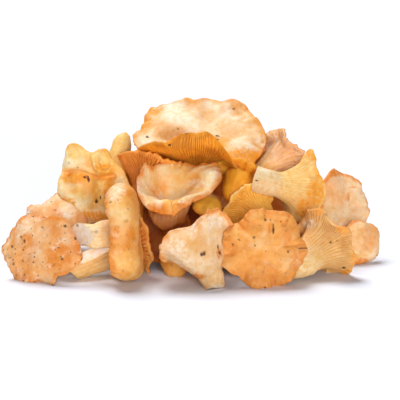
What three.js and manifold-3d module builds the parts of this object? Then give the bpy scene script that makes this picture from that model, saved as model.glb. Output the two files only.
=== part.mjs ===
// A heap of freshly picked chanterelles, Cantharellus cibarius, as they lie on a table.
// Units are millimetres and +Z is up. The origin is on the table under the middle of the heap.
//
// Every mushroom is one piece of flesh: a cap that opens like a trumpet, blunt ridges that run from
// the rim down on to the stem, and a stem that was cut off at the foot. One recipe each gives its shape
// and its place. The mushrooms press against each other, so each one gives way to those placed before it.
import * as THREE from "three";
import Module from "manifold-3d";
import { mergeVertices } from "three/addons/utils/BufferGeometryUtils.js";

const wasm = await Module();
wasm.setup();

// ---- driving dimensions ----
const RIM_THICK = 2.5; // flesh at the rim of a cap
const HEART_THICK = 5.0; // flesh that is added to it at the middle of a cap
const RIDGE_HIGH = 0.9; // height of the ridges under a cap, from valley to crest
const GAP = 0.35; // air left between two mushrooms that touch
const SHARPEST = 0.3; // a sharp corner moves out by at most the room over this
const TURNS = 20; // steps in which the way out of a corner is found
const TABLE = [600, 600, 20]; // block below z = 0 that presses the lowest mushrooms flat

// ---- where the surface has its rings and how many sides it has ----
// Shares of the way from the middle of the face to the rim, down the flare and down the stem.
const RINGS_RIDGED = { face: [0.32, 0.62, 0.85, 1], flare: [0.4, 0.75, 1], stem: [0.5, 1] };
const RINGS_SMOOTH = { face: [0.36, 0.72, 1], flare: [0.5, 1], stem: [0.5, 1] };
const SIDES_RIDGED = 32; // two sides a ridge
const SIDES_SMOOTH = 18;
const SPOKE_STEPS = 40; // steps in which the slope of a face is summed up

// ---- how every cap is built ----
const RISE_BY = 0.3; // share of the way out by which the face has its slope
const LIP_FROM = 0.35; // share of the way out from which it bends to the slope of the rim
const RIM_SHARE = 0.97; // share of the way out at which the underside starts
const JOINT_OUTER = 0.95; // where the flare leaves the underside of a plain funnel
const JOINT_INNER = 0.75; // how much further in it does so under a flat cap, times its hug
const RIDGE_START = 8; // how quickly a ridge grows from the rim
const RIDGE_FADE = 0.6; // share of its height that a ridge loses on the way down to the stem
const STEM_LUMP = 0.05; // three soft edges along a stem, as a share of its radius
const STEM_TWIST = 5; // turn of those edges from top to foot, in radians
const CUT_FROM = 0.3; // share of the stem from which a slanting cut pulls it askew

const FLESH_COLOURS = { golden: 0xe8a34e, pale: 0xf3cf9c, deep: 0xc97b2c };
const FLESH_ROUGHNESS = 0.6;

// What a recipe leaves out.
const USUAL = {
  rise: [0],
  lip: [-20],
  wave: [5, 10, 0.03, 0.3],
  flesh: 1,
  hug: 0.55,
  ridged: false,
  tint: "golden",
};
const USUAL_STEM = { lean: [0, 0], oval: 0.05, cut: [0.2, 0] };

const radians = THREE.MathUtils.degToRad;
const smooth = (x) => THREE.MathUtils.smoothstep(x, 0, 1);

// A smooth value at a share of the way round, from values stated at even steps clockwise from the top.
function around(values, turn) {
  const count = values.length;
  const place = turn * count;
  const first = Math.floor(place);
  const f = place - first;
  const v = (k) => values[(first + k + count) % count];
  const slope = (v(1) - v(-1)) * f;
  const bend = (2 * v(-1) - 5 * v(0) + 4 * v(1) - v(2)) * f ** 2;
  const turnover = (3 * v(0) - v(-1) - 3 * v(1) + v(2)) * f ** 3;
  return v(0) + (slope + bend + turnover) / 2;
}

// The cap's face along one spoke: distance out, height and slope at a share of the way to the rim.
function spoke(recipe, turn) {
  const [waves, waveAngle, waveReach, waveStart] = recipe.wave;
  const phase = 2 * Math.PI * (waves * turn + waveStart);
  const step = (around(recipe.reach, turn) * (1 + waveReach * Math.sin(phase))) / SPOKE_STEPS;
  const rise = radians(around(recipe.rise, turn));
  const lip = radians(around(recipe.lip, turn) + waveAngle * Math.cos(phase));
  const points = [{ out: 0, high: 0, slope: 0 }];
  for (let i = 0; i < SPOKE_STEPS; i++) {
    const s = (i + 0.5) / SPOKE_STEPS;
    const slope = rise * smooth(s / RISE_BY) + (lip - rise) * smooth((s - LIP_FROM) / (1 - LIP_FROM));
    const { out, high } = points[i];
    points.push({ out: out + step * Math.cos(slope), high: high + step * Math.sin(slope), slope });
  }
  return (s) => {
    const place = s * SPOKE_STEPS;
    const i = Math.min(Math.floor(place), SPOKE_STEPS - 1);
    const mix = (key) => THREE.MathUtils.lerp(points[i][key], points[i + 1][key], place - i);
    return { out: mix("out"), high: mix("high"), slope: mix("slope") };
  };
}

// A point of the cap's underside on that spoke, with more flesh the nearer it is to the stem.
function underside(recipe, face, s, ridge) {
  const { out, high, slope } = face(s);
  const thick = RIM_THICK + HEART_THICK * recipe.flesh * (1 - s) ** 2 + ridge;
  return { out: out + thick * Math.sin(slope), high: high - thick * Math.cos(slope), slope };
}

// A point on the stem, whose axis leaves the cap squarely and bends over to where the foot stands.
function stemPoint(stem, turn, t) {
  const { throat, long, thick, foot, lean, oval, cut } = { ...USUAL_STEM, ...stem };
  const axis = new THREE.QuadraticBezierCurve3(
    new THREE.Vector3(0, 0, -throat),
    new THREE.Vector3(0, 0, -throat - long / 2),
    new THREE.Vector3(lean[0], lean[1], -throat - long),
  );
  const along = axis.getTangent(t);
  const a = 2 * Math.PI * turn;
  const lumps = 1 + oval * Math.cos(2 * a) + STEM_LUMP * Math.cos(3 * a + STEM_TWIST * t);
  const radius = THREE.MathUtils.lerp(thick, foot, smooth(t)) * lumps;
  const askew = cut[0] * Math.cos(a - radians(cut[1])) * smooth((t - CUT_FROM) / (1 - CUT_FROM));
  const tip = new THREE.Quaternion().setFromUnitVectors(new THREE.Vector3(0, 0, -1), along);
  return new THREE.Vector3(Math.sin(a), Math.cos(a), 0)
    .applyQuaternion(tip)
    .addScaledVector(along, askew)
    .multiplyScalar(radius)
    .add(axis.getPoint(t));
}

// The rings of one mushroom, from the middle of its face over the rim and down to the foot.
function ringsOf(recipe) {
  const shares = recipe.ridged ? RINGS_RIDGED : RINGS_SMOOTH;
  const sides = recipe.ridged ? SIDES_RIDGED : SIDES_SMOOTH;
  const faces = Array.from({ length: sides }, (_, j) => spoke(recipe, j / sides));
  const onSpoke = (j, { out, high }) => {
    const a = (2 * Math.PI * j) / sides;
    return new THREE.Vector3(out * Math.sin(a), out * Math.cos(a), high);
  };
  const ridge = (j, share) => (recipe.ridged ? (j % 2 ? 0.5 : -0.5) * RIDGE_HIGH * share : 0);
  const under = (j, s) => underside(recipe, faces[j], s, ridge(j, Math.min(1, RIDGE_START * (1 - s))));
  const joint = JOINT_OUTER - JOINT_INNER * recipe.hug;
  const undersides = recipe.ridged ? [RIM_SHARE, (RIM_SHARE + joint) / 2, joint] : [RIM_SHARE, joint];

  // The flare leaves the underside along its slope and runs into the top of the stem.
  const flare = (j, t) => {
    const from = underside(recipe, faces[j], joint, 0);
    const top = stemPoint(recipe.stem, j / sides, 0);
    const neck = Math.hypot(top.x, top.y);
    const pull = recipe.hug * (from.out - neck);
    const curve = new THREE.CubicBezierCurve(
      new THREE.Vector2(from.out, from.high),
      new THREE.Vector2(from.out - pull * Math.cos(from.slope), from.high - pull * Math.sin(from.slope)),
      new THREE.Vector2(neck, top.z + recipe.hug * (from.high - top.z)),
      new THREE.Vector2(neck, top.z),
    );
    const { x, y } = curve.getPoint(t);
    return { out: x + ridge(j, 1 - RIDGE_FADE * t), high: y };
  };

  return [
    ...shares.face.map((s) => faces.map((face, j) => onSpoke(j, face(s)))),
    ...undersides.map((s) => faces.map((_, j) => onSpoke(j, under(j, s)))),
    ...shares.flare.map((t) => faces.map((_, j) => onSpoke(j, flare(j, t)))),
    ...shares.stem.map((t) => faces.map((_, j) => stemPoint(recipe.stem, j / sides, t))),
  ];
}

// A closed surface over those rings, with a fan at the middle of the face and one under the foot.
function mushroom(recipe) {
  const rings = ringsOf(recipe);
  const sides = rings[0].length;
  const foot = rings.at(-1).reduce((sum, p) => sum.add(p), new THREE.Vector3()).divideScalar(sides);
  const points = [new THREE.Vector3(), ...rings.flat(), foot];
  const at = (ring, j) => 1 + ring * sides + (j % sides);
  const faces = [];
  for (let j = 0; j < sides; j++) {
    faces.push(0, at(0, j + 1), at(0, j));
    for (let ring = 0; ring + 1 < rings.length; ring++) {
      faces.push(at(ring, j), at(ring, j + 1), at(ring + 1, j));
      faces.push(at(ring, j + 1), at(ring + 1, j + 1), at(ring + 1, j));
    }
    faces.push(points.length - 1, at(rings.length - 1, j), at(rings.length - 1, j + 1));
  }
  return new THREE.BufferGeometry().setFromPoints(points).setIndex(faces);
}

// A three.js geometry as a manifold-3d solid, and back.
function toSolid(geometry) {
  const bare = new THREE.BufferGeometry();
  bare.setAttribute("position", geometry.getAttribute("position").clone());
  bare.setIndex(geometry.index.clone());
  const merged = mergeVertices(bare);
  const vertProperties = new Float32Array(merged.getAttribute("position").array);
  const triVerts = new Uint32Array(merged.index.array);
  return new wasm.Manifold(new wasm.Mesh({ numProp: 3, vertProperties, triVerts }));
}

function toGeometry(solid) {
  const { vertProperties, triVerts } = solid.getMesh();
  const geometry = new THREE.BufferGeometry();
  geometry.setAttribute("position", new THREE.BufferAttribute(new Float32Array(vertProperties), 3));
  geometry.setIndex(new THREE.BufferAttribute(new Uint32Array(triVerts), 1));
  geometry.computeVertexNormals();
  return geometry;
}

// The way out of a corner between faces: the direction that leans least away from any of them.
function wayOut(facings) {
  const out = facings.reduce((sum, facing) => sum.add(facing), new THREE.Vector3()).normalize();
  const worst = () => facings.reduce((a, b) => (b.dot(out) < a.dot(out) ? b : a));
  for (let turn = 2; turn < TURNS; turn++)
    out.addScaledVector(worst(), 1 / turn).normalize();
  return out.divideScalar(Math.max(worst().dot(out), SHARPEST));
}

// The same surface moved outwards, each corner far enough for all its faces to move by the room.
function withRoom(geometry, room) {
  const grown = geometry.clone();
  const { position } = grown.attributes;
  const facings = Array.from({ length: position.count }, () => []);
  const triangle = new THREE.Triangle();
  for (let i = 0; i < geometry.index.count; i += 3) {
    const corners = [0, 1, 2].map((k) => geometry.index.getX(i + k));
    const facing = triangle.setFromAttributeAndIndices(position, ...corners).getNormal(new THREE.Vector3());
    if (facing.length() > 0)
      corners.forEach((corner) => facings[corner].push(facing));
  }
  facings.forEach((around, i) => {
    const point = new THREE.Vector3().fromBufferAttribute(position, i);
    if (around.length) position.setXYZ(i, ...point.addScaledVector(wayOut(around), room));
  });
  return grown;
}

// What is left in one piece when a mushroom has been pressed: its largest body.
const largest = (solid) => solid.decompose().sort((a, b) => b.volume() - a.volume())[0];

// Where a mushroom lies: the middle of its face, and where the face looks, as a bearing seen from above
// (0 towards -Y, 90 towards +X) and a height above the horizon. The top of the cap is its highest side.
function placeOf({ at, faces }) {
  const [bearing, height] = faces.map(radians);
  const face = new THREE.Vector3(
    Math.sin(bearing) * Math.cos(height),
    -Math.cos(bearing) * Math.cos(height),
    Math.sin(height),
  );
  const top = new THREE.Vector3(0, 0, 1).projectOnPlane(face).normalize();
  const side = new THREE.Vector3().crossVectors(top, face);
  return new THREE.Matrix4().makeBasis(side, top, face).setPosition(...at);
}

// ---- recipes ----
// at, faces     the middle of the cap's face, and its bearing and height as placeOf reads them
// reach         length of the face from its middle to the rim, at even steps clockwise from the top
// rise, lip     slope of the face near the middle and at the rim, in degrees, at the same kind of steps
// wave          waves along the rim, how far they tip it, how much they lengthen it, where they start
// flesh         share of HEART_THICK that the cap has
// hug           how closely the flare follows the cap before it turns down: 0.1 for a funnel, 0.55 flat
// stem          throat, the depth at which the stem starts; its length, its radius at top and foot, how
//               far the foot leans aside, how oval it is, and how steep its cut is and on which side
const recipes = [
  {
    name: "broad_cap_on_top",
    at: [1.5, 2, 75.5],
    faces: [0, 66],
    reach: [
      32, 34.5, 36.5, 37.5, 39.5, 41, 42, 41, 39, 37, 32, 27,
      26, 27, 32, 36, 37.5, 38, 38, 40, 42, 45, 46, 41,
    ],
    rise: [8, 8, 8, 8, 8, 6, 3, 0, -2, 0, 4, 8, 10, 9, 4, 0, -4, -2, 0, 2, 4, 6, 8, 8],
    lip: [
      24, 28, 28, 24, 14, -5, -25, -38, -45, -25, 75, 128,
      132, 122, 100, 72, 44, 14, -14, -24, -28, -26, -16, 6,
    ],
    wave: [9, 8, 0.03, 0.1],
    hug: 0.3,
    ridged: true,
    tint: "pale",
    stem: { throat: 20, long: 18, thick: 9.5, foot: 7.5, lean: [2, 0], oval: 0.06, cut: [0.1, 0] },
  },
  {
    name: "round_cap_in_front",
    at: [39.5, -65, 22.5],
    faces: [4, 10],
    reach: [24.5, 26.5, 26.5, 26, 23.5, 23, 26.5, 23],
    rise: [-8, -6, -6, -8, -8, -6, -4, -8],
    lip: [-30, -40, -35, -35, -30, -25, -35, -30],
    wave: [7, 8, 0.03, 0.3],
    stem: { throat: 11, long: 16, thick: 8, foot: 6.5, cut: [0.1, 0] },
  },
  {
    name: "speckled_cap_on_the_left",
    at: [-90.5, -53, 19.5],
    faces: [-18, 10],
    reach: [21, 24, 26, 22, 21, 26, 26, 24],
    rise: [-8, -8, -4, 0, -6, -8, -10, -10],
    lip: [-25, -35, -35, 0, -35, -35, -40, -35],
    wave: [6, 10, 0.03, 0.6],
    stem: { throat: 11, long: 12, thick: 7.5, foot: 6.5, lean: [4, 0], cut: [0.1, 0] },
  },
  {
    name: "pale_funnel_in_front",
    at: [2.7, -50, 26.5],
    faces: [-152, 52],
    reach: [23, 24, 28, 22, 16, 15, 18, 23],
    rise: [25, 6, -5, -14, -10, 0, 5, 6],
    lip: [12, -8, -14, -28, -20, -10, 0, -14],
    wave: [5, 10, 0.03, 0.2],
    hug: 0.08,
    tint: "pale",
    stem: { throat: 24, long: 8.5, thick: 7.5, foot: 6.2, oval: 0.06, cut: [0.1, 0] },
  },
  {
    name: "sideways_trumpet",
    at: [-31, -50, 30],
    faces: [91, 5],
    reach: [46, 44.5, 39, 34, 30, 33, 39, 43, 45, 43.5, 40, 34, 30, 33, 38, 44],
    rise: [0, -2, -5, -8, -10, -8, -6, -4, 0, -3, -8, -13, -15, -13, -8, -3],
    lip: [
      -152, -144, -124, -106, -100, -106, -118, -132,
      -138, -130, -114, -100, -94, -102, -124, -146,
    ],
    wave: [3, 3, 0.02, 0.2],
    flesh: 1.2,
    hug: 0.62,
    tint: "pale",
    stem: { throat: 21, long: 14, thick: 7.6, foot: 6.3, lean: [0, 1], cut: [1, 100] },
  },
  {
    name: "leaning_trumpet",
    at: [-33.5, -28, 18.5],
    faces: [112, 18],
    reach: [21, 20, 20, 20, 19, 17, 18, 20],
    rise: [12, 10, 8, 5, 5, 5, 8, 12],
    lip: [20, 15, 10, 0, -10, -5, 10, 20],
    wave: [6, 10, 0.03, 0],
    hug: 0.35,
    ridged: true,
    stem: { throat: 14, long: 30, thick: 7.2, foot: 6.4, cut: [0.5, 0] },
  },
  {
    name: "folded_cap_upper_left",
    at: [-61.5, -15, 48],
    faces: [-24, 0],
    reach: [23, 28.5, 25.5, 24.5, 25.5, 27.5, 25, 21.5, 22.5, 23, 22.5, 22, 22, 23, 22.5, 23, 26, 30.5],
    rise: [26, 22, 24, 14, 4, 2, 12, 24, 30, 32, 30, 26, 18, 6, 6, 16, 26, 30],
    lip: [-30, -30, -20, -20, -10, 0, -15, -28, -40, -46, -44, -38, -30, -20, -20, -25, -30, -25],
    wave: [5, 6, 0.02, 0.4],
    flesh: 0.6,
    stem: { throat: 8, long: 24, thick: 6.8, foot: 6.2, lean: [9, 28] },
  },
  {
    name: "middle_funnel",
    at: [-15.5, -26, 43],
    faces: [0, 71],
    reach: [25, 29, 39, 32, 25, 24, 24, 23, 25, 28, 25.5, 23.5],
    rise: [54, 50, 47, 45, 44, 48, 50, 50, 52, 56, 56, 54],
    lip: [25, 20, -10, -40, -55, -52, -50, -36, 20, 85, 95, 50],
    wave: [4, 6, 0.03, 0.2],
    hug: 0.35,
    stem: { throat: 12, long: 9, thick: 10.5, foot: 5.5, cut: [0.1, 0] },
  },
  {
    name: "ridged_fan_on_the_right",
    at: [60.5, -11, 47],
    faces: [119, -17],
    reach: [24.5, 15, 14, 16, 19, 21, 20, 20, 20, 22, 22, 20, 20, 19, 18, 19],
    rise: [8, 20, 20, 20, 20, 20, 22, 25, 28, 32, 32, 30, 28, 25, 22, 18],
    lip: [8, 20, 20, 15, 10, 10, 20, 30, 40, 50, 50, 45, 40, 30, 25, 20],
    wave: [5, 4, 0.02, 0.1],
    hug: 0.35,
    ridged: true,
    stem: { throat: 16, long: 14, thick: 7, foot: 7.5, cut: [0.75, 270] },
  },
  {
    name: "ridged_fan_low_right",
    at: [75.5, -34, 18],
    faces: [132, 20],
    reach: [22, 23.5, 18.5, 19, 20, 20, 20, 20.5, 21, 21.5, 22, 21.5, 21, 21.5, 21, 18],
    rise: [15, 13, 10, 10, 10, 10, 10, 10, 10, 15, 20, 20, 20, 18, 15, 15],
    lip: [10, 10, 5, 0, 0, 0, 0, 10, 20, 25, 30, 25, 20, 15, 10, 8],
    wave: [7, 12, 0.04, 0.3],
    hug: 0.3,
    ridged: true,
    tint: "pale",
    stem: { throat: 15, long: 15, thick: 9, foot: 8, lean: [0, 7] },
  },
  {
    name: "ridged_cap_in_the_middle",
    at: [37, -17, 38],
    faces: [205, 30],
    reach: [17, 22, 23, 20, 15, 10, 8, 11],
    rise: [5, 0, 0, 0, 0, 0, 5, 5],
    lip: [5, -5, -5, -5, 0, 0, 5, 5],
    wave: [6, 8, 0.03, 0.3],
    hug: 0.3,
    ridged: true,
    tint: "deep",
    stem: { throat: 14, long: 12, thick: 7, foot: 6 },
  },
  {
    name: "high_cap_on_the_right",
    at: [89.5, 7, 33],
    faces: [35, 15],
    reach: [22, 20, 21, 22, 25, 23, 20, 20],
    rise: [4, 4, 4, 4, 0, 4, 4, 4],
    lip: [-12, -12, -15, -20, -10, 0, 10, 0],
    wave: [6, 10, 0.03, 0.3],
    tint: "pale",
    stem: { throat: 11, long: 18, thick: 7.5, foot: 6, lean: [0, -6] },
  },
  {
    name: "small_cap_on_the_right",
    at: [101.5, -9, 12.7],
    faces: [25, 10],
    reach: [16, 17, 17, 15, 14, 14, 14, 15],
    rise: [-12],
    lip: [-50],
    wave: [5, 8, 0.03, 0.3],
    flesh: 0.8,
    stem: { throat: 8, long: 12, thick: 5.5, foot: 5 },
  },
  {
    name: "small_cap_behind_the_top",
    at: [52.5, 13, 63],
    faces: [124, 24],
    reach: [16.5, 16, 16, 16, 16, 16, 17.5, 20],
    rise: [10, 10, 10, 10, 10, 20, 20, 15],
    lip: [-10, -10, -10, 0, 10, 20, 10, 0],
    wave: [5, 14, 0.04, 0.3],
    flesh: 0.8,
    hug: 0.3,
    ridged: true,
    tint: "pale",
    stem: { throat: 12, long: 18, thick: 5.5, foot: 5, lean: [-4, -8] },
  },
  {
    name: "frosted_cap_behind_left",
    at: [-81.5, -20, 35],
    faces: [-15, 52],
    reach: [18, 18, 20, 20, 18, 20, 21, 18],
    rise: [-8],
    lip: [-30, -30, -40, -40, -35, -40, -30, -30],
    wave: [6, 14, 0.04, 0.3],
    flesh: 0.9,
    tint: "pale",
    stem: { throat: 11, long: 22, thick: 6.5, foot: 5.5 },
  },
  {
    name: "dark_ridged_cap_under_the_top",
    at: [-27.5, 0, 53.2],
    faces: [153, 46],
    reach: [22, 22, 22, 22, 20, 20, 22, 22],
    rise: [10, 10, 10, 10, 10, 20, 20, 15],
    lip: [10, 10, 0, 0, 0, 20, 20, 10],
    wave: [6, 10, 0.03, 0.3],
    flesh: 0.9,
    hug: 0.35,
    ridged: true,
    tint: "deep",
    stem: { throat: 14, long: 14, thick: 6, foot: 5 },
  },
  {
    name: "stout_stem_in_the_middle",
    at: [30.5, -8, 55.5],
    faces: [152, 36],
    reach: [15, 16, 19, 17, 15, 15, 15, 15],
    lip: [-10],
    flesh: 0.9,
    stem: { throat: 9, long: 14, thick: 10.5, foot: 8, cut: [0.1, 0] },
  },
  {
    name: "yellow_button_in_the_middle",
    at: [8.5, -25, 42.5],
    faces: [10, 55],
    reach: [9, 10, 11, 10, 9, 10, 11, 10],
    rise: [-15],
    lip: [-65],
    wave: [5, 6, 0.02, 0.3],
    flesh: 0.9,
    stem: { throat: 8, long: 16, thick: 4.5, foot: 4 },
  },
  {
    name: "button_on_the_table",
    at: [-14.5, -39, 8],
    faces: [-30, 5],
    reach: [11],
    rise: [-20],
    lip: [-60],
    wave: [5, 5, 0.02, 0.3],
    flesh: 0.8,
    stem: { throat: 8, long: 10, thick: 4.5, foot: 4 },
  },
  {
    name: "cap_inside_the_heap",
    at: [-23.5, -15, 22],
    faces: [-10, 30],
    reach: [20, 21, 22, 20, 19, 20, 21, 20],
    rise: [5],
    wave: [5, 10, 0.03, 0.1],
    flesh: 0.9,
    tint: "deep",
    stem: { throat: 11, long: 26, thick: 7.5, foot: 7 },
  },
  {
    name: "cap_deep_in_the_middle",
    at: [22.5, -23, 20],
    faces: [10, 30],
    reach: [20, 21, 22, 20, 18, 20, 21, 20],
    rise: [5],
    wave: [5, 10, 0.03, 0.5],
    flesh: 0.9,
    tint: "deep",
    stem: { throat: 11, long: 26, thick: 7.5, foot: 7 },
  },
  {
    name: "cap_low_in_the_middle",
    at: [0.5, 11, 26],
    faces: [60, 75],
    reach: [24, 25, 26, 24, 22, 24, 25, 24],
    rise: [5],
    lip: [-25],
    wave: [5, 10, 0.03, 0.8],
    tint: "deep",
    stem: { throat: 12, long: 20, thick: 8, foot: 7 },
  },
  {
    name: "broad_cap_at_the_back",
    at: [10.5, 63, 25],
    faces: [178, 15],
    reach: [24, 28, 31, 27, 30, 25, 27, 23, 26, 31, 27, 29],
    rise: [2, 6, 0, -6, 2, 8, 0, -6, 0, 8, 2, -4],
    lip: [-25, 10, -25, -30, 0, 20, -20, -35, -20, 20, -10, -25],
    wave: [7, 10, 0.03, 0.2],
    stem: { throat: 12, long: 24, thick: 8, foot: 7 },
  },
  {
    name: "leaning_cap_at_the_back_left",
    at: [-43.5, 49, 22],
    faces: [208, 22],
    reach: [22, 26, 24, 27, 22, 25, 23, 26, 22, 27, 24, 25],
    rise: [10, 6, -4, 6, 12, 4, -6, 2, 10, 6, -2, 6],
    lip: [20, -10, -30, 0, 20, 10, -25, -10, 15, 0, -25, 0],
    wave: [6, 12, 0.03, 0.4],
    stem: { throat: 12, long: 24, thick: 7.5, foot: 6.5 },
  },
  {
    name: "ridged_fan_at_the_back_right",
    at: [58.5, 41, 21],
    faces: [20, 32],
    reach: [24, 22, 20, 21, 22, 24, 22, 25],
    rise: [18, 12, 8, 10, 15, 22, 15, 12],
    lip: [15, 5, -10, 0, 20, 30, 10, 0],
    wave: [6, 12, 0.04, 0.7],
    hug: 0.3,
    ridged: true,
    stem: { throat: 15, long: 14, thick: 8.5, foot: 7.5 },
  },
  {
    name: "funnel_high_at_the_back",
    at: [-13.5, 35, 50],
    faces: [190, 60],
    reach: [22, 23, 24, 23, 22, 23, 24, 23],
    rise: [35, 30, 25, 30, 35, 30, 25, 30],
    lip: [30, 30, 20, 30, 40, 40, 20, 30],
    wave: [5, 12, 0.04, 0.2],
    stem: { throat: 14, long: 18, thick: 8, foot: 7 },
  },
  {
    name: "trumpet_high_at_the_back_right",
    at: [35.5, 33, 48],
    faces: [160, 50],
    reach: [21, 22, 23, 22, 21, 22, 23, 22],
    rise: [20],
    lip: [10, 20, 30, 20, 10, 20, 30, 20],
    wave: [5, 12, 0.04, 0.6],
    stem: { throat: 14, long: 20, thick: 7.5, foot: 7 },
  },
  {
    name: "cap_on_the_left_at_the_back",
    at: [-81.5, 19, 19.6],
    faces: [255, 15],
    reach: [20, 23, 20, 24, 21, 22, 19, 22, 20, 24, 20, 22],
    rise: [0, 6, -4, 4, 0, 6, -4, 0, 0, 6, -4, 0],
    lip: [-25, 0, -35, 0, -20, 5, -35, -10, -25, 0, -30, -10],
    wave: [6, 10, 0.03, 0.1],
    stem: { throat: 11, long: 24, thick: 7, foot: 6.5 },
  },
  {
    name: "trumpet_high_at_the_back_left",
    at: [-53.5, 21, 44],
    faces: [235, 45],
    reach: [20, 21, 22, 21, 20, 20, 21, 20],
    rise: [15],
    lip: [5],
    wave: [6, 10, 0.03, 0.5],
    stem: { throat: 12, long: 20, thick: 7, foot: 6.5 },
  },
  {
    name: "small_cap_at_the_back_right",
    at: [91.5, 31, 13],
    faces: [110, 25],
    reach: [13, 14, 14, 14, 14, 13, 14, 13],
    rise: [-10],
    lip: [-40],
    wave: [5, 10, 0.03, 0.2],
    flesh: 0.8,
    stem: { throat: 8, long: 14, thick: 5.5, foot: 5 },
  },
];

// ---- the heap ----
const table = toSolid(new THREE.BoxGeometry(...TABLE)).translate([0, 0, -TABLE[2] / 2]);
const heap = new THREE.Group();
const rooms = [table];

for (const given of recipes) {
  const recipe = { ...USUAL, ...given };
  const place = placeOf(recipe);
  const back = place.clone().invert().elements;
  let solid = toSolid(mushroom(recipe));
  for (const room of rooms)
    solid = solid.subtract(room.transform(back));
  const color = FLESH_COLOURS[recipe.tint];
  const flesh = new THREE.MeshStandardMaterial({ color, roughness: FLESH_ROUGHNESS });
  const mesh = new THREE.Mesh(toGeometry(largest(solid)), flesh);
  mesh.name = recipe.name;
  place.decompose(mesh.position, mesh.quaternion, mesh.scale);
  heap.add(mesh);
  for (const shape of [mesh.geometry, withRoom(mesh.geometry, GAP)])
    rooms.push(toSolid(shape).transform(place.elements));
}

export default heap;
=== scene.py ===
# %% [markdown]
# # A heap of chanterelles
# Chanterelles are golden wild mushrooms whose caps open like trumpets. Here thirty of them lie on a
# table, pressed against each other. The plain solids of all thirty come from a imported model. This
# lesson grows each one again in its place, with fine gills, a frilled rim, fibres on the stem and skin
# that looks like the real one. We start by loading the imported model.

# %% Load the imported model
import math

import bpy
import numpy as np
from mathutils import Matrix, Vector


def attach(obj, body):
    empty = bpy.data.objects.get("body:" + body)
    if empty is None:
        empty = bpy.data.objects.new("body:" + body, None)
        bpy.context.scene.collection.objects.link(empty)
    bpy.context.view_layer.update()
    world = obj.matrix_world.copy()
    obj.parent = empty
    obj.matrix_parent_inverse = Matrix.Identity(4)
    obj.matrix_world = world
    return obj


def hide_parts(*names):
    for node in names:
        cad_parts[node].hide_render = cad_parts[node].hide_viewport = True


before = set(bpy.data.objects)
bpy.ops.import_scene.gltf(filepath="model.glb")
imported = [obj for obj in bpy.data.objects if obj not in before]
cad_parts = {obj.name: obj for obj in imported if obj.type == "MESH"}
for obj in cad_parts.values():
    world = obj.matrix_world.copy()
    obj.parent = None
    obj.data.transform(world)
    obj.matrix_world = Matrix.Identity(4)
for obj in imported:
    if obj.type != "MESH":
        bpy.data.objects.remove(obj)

MM = 0.001
TAU = 2 * math.pi

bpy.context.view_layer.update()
print("packed mushrooms:", len(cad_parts))

# %% [markdown]
# ## Camera
# A long lens from far off keeps the sides of the heap from bulging, as a product shot does. We stand
# at the front, a little above the table, and look at the middle of the heap. The width that the lens
# takes in at that distance is 240 mm, and that fixes its focal length.

# %% Set up the camera
LOOK_AT = Vector((3.3, -3.0, 38.5)) * MM
CAMERA_AWAY = 1100 * MM
CAMERA_ABOVE = math.radians(12)
VIEW_WIDE = 240 * MM
SENSOR = 36.0

camera = bpy.data.objects.new("camera", bpy.data.cameras.new("camera"))
bpy.context.scene.collection.objects.link(camera)
away = Vector((0, -math.cos(CAMERA_ABOVE), math.sin(CAMERA_ABOVE)))
camera.location = LOOK_AT + away * CAMERA_AWAY
camera.rotation_euler = (math.pi / 2 - CAMERA_ABOVE, 0, 0)
camera.data.sensor_width = SENSOR
camera.data.lens = SENSOR * CAMERA_AWAY / VIEW_WIDE
bpy.context.scene.camera = camera
print("lens:", round(camera.data.lens), "mm")

# %% [markdown]
# ## Colours and nodes
# Colours are easiest to write down as web colours, which are sRGB. Blender's sockets want linear
# light, so one function turns the one into the other. A second small function adds a node, sets its
# options and feeds its sockets, either with a value or with another node's output. It gives back the
# output that the next node needs.

# %% Two helpers for materials
def colour(web):
    """A web colour such as #f2c48a as linear red, green, blue and alpha."""
    parts = [int(web[i : i + 2], 16) / 255 for i in (1, 3, 5)]
    return (*[c / 12.92 if c <= 0.04045 else ((c + 0.055) / 1.055) ** 2.4 for c in parts], 1.0)


def add_node(tree, kind, feeds, out=0, **options):
    """Adds a node of a kind with these options and feeds, and gives one of its outputs."""
    node = tree.nodes.new("ShaderNode" + kind)
    for option, value in options.items():
        setattr(node, option, value)
    for socket, feed in feeds.items():
        if isinstance(feed, bpy.types.NodeSocket):
            tree.links.new(feed, node.inputs[socket])
        else:
            node.inputs[socket].default_value = feed
    return node.outputs[out]


print("golden skin is", [round(c, 3) for c in colour("#f1b054")])

# %% [markdown]
# ## Table and light
# The table is a wide matt white sheet, which is stage and not part of the heap. It is lit as in a
# white studio: a wide lamp overhead gives the bright tops and the short grey shadow, a second one in
# front lights the faces of the caps, and a dim bluish sky fills the hollows. Both lamps are suns with
# a wide angle, because a sun lights the whole table evenly, so that the white runs on to the horizon,
# and the angle makes its shadow as soft as a big softbox does.

# %% Lay the table and hang the lamps
TABLE_WIDE = 12  # metres, so that its edge is out of sight
PAPER, PAPER_ROUGH = "#eff3fb", 0.9
SKY, SKY_LIGHT = "#c4d8ff", 0.15
LAMPS = [  # name, energy, how wide it looks and how it is turned, in degrees
    ("overhead", 3.4, 40, (-21, -15, 0)),
    ("front_fill", 2.05, 30, (79, 0, 10)),
]

scene = bpy.context.scene
scene.view_settings.view_transform = "Standard"

paper = bpy.data.materials.new("matt white paper")
paper.use_nodes = True
paper_shader = paper.node_tree.nodes["Principled BSDF"]
paper_shader.inputs["Base Color"].default_value = colour(PAPER)
paper_shader.inputs["Roughness"].default_value = PAPER_ROUGH

bpy.ops.mesh.primitive_plane_add(size=TABLE_WIDE, location=(0, 0, 0))
table = bpy.context.object
table.name = "table"
table.data.materials.append(paper)

scene.world = bpy.data.worlds.new("studio")
scene.world.use_nodes = True
sky = scene.world.node_tree.nodes["Background"]
sky.inputs["Color"].default_value = colour(SKY)
sky.inputs["Strength"].default_value = SKY_LIGHT

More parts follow.
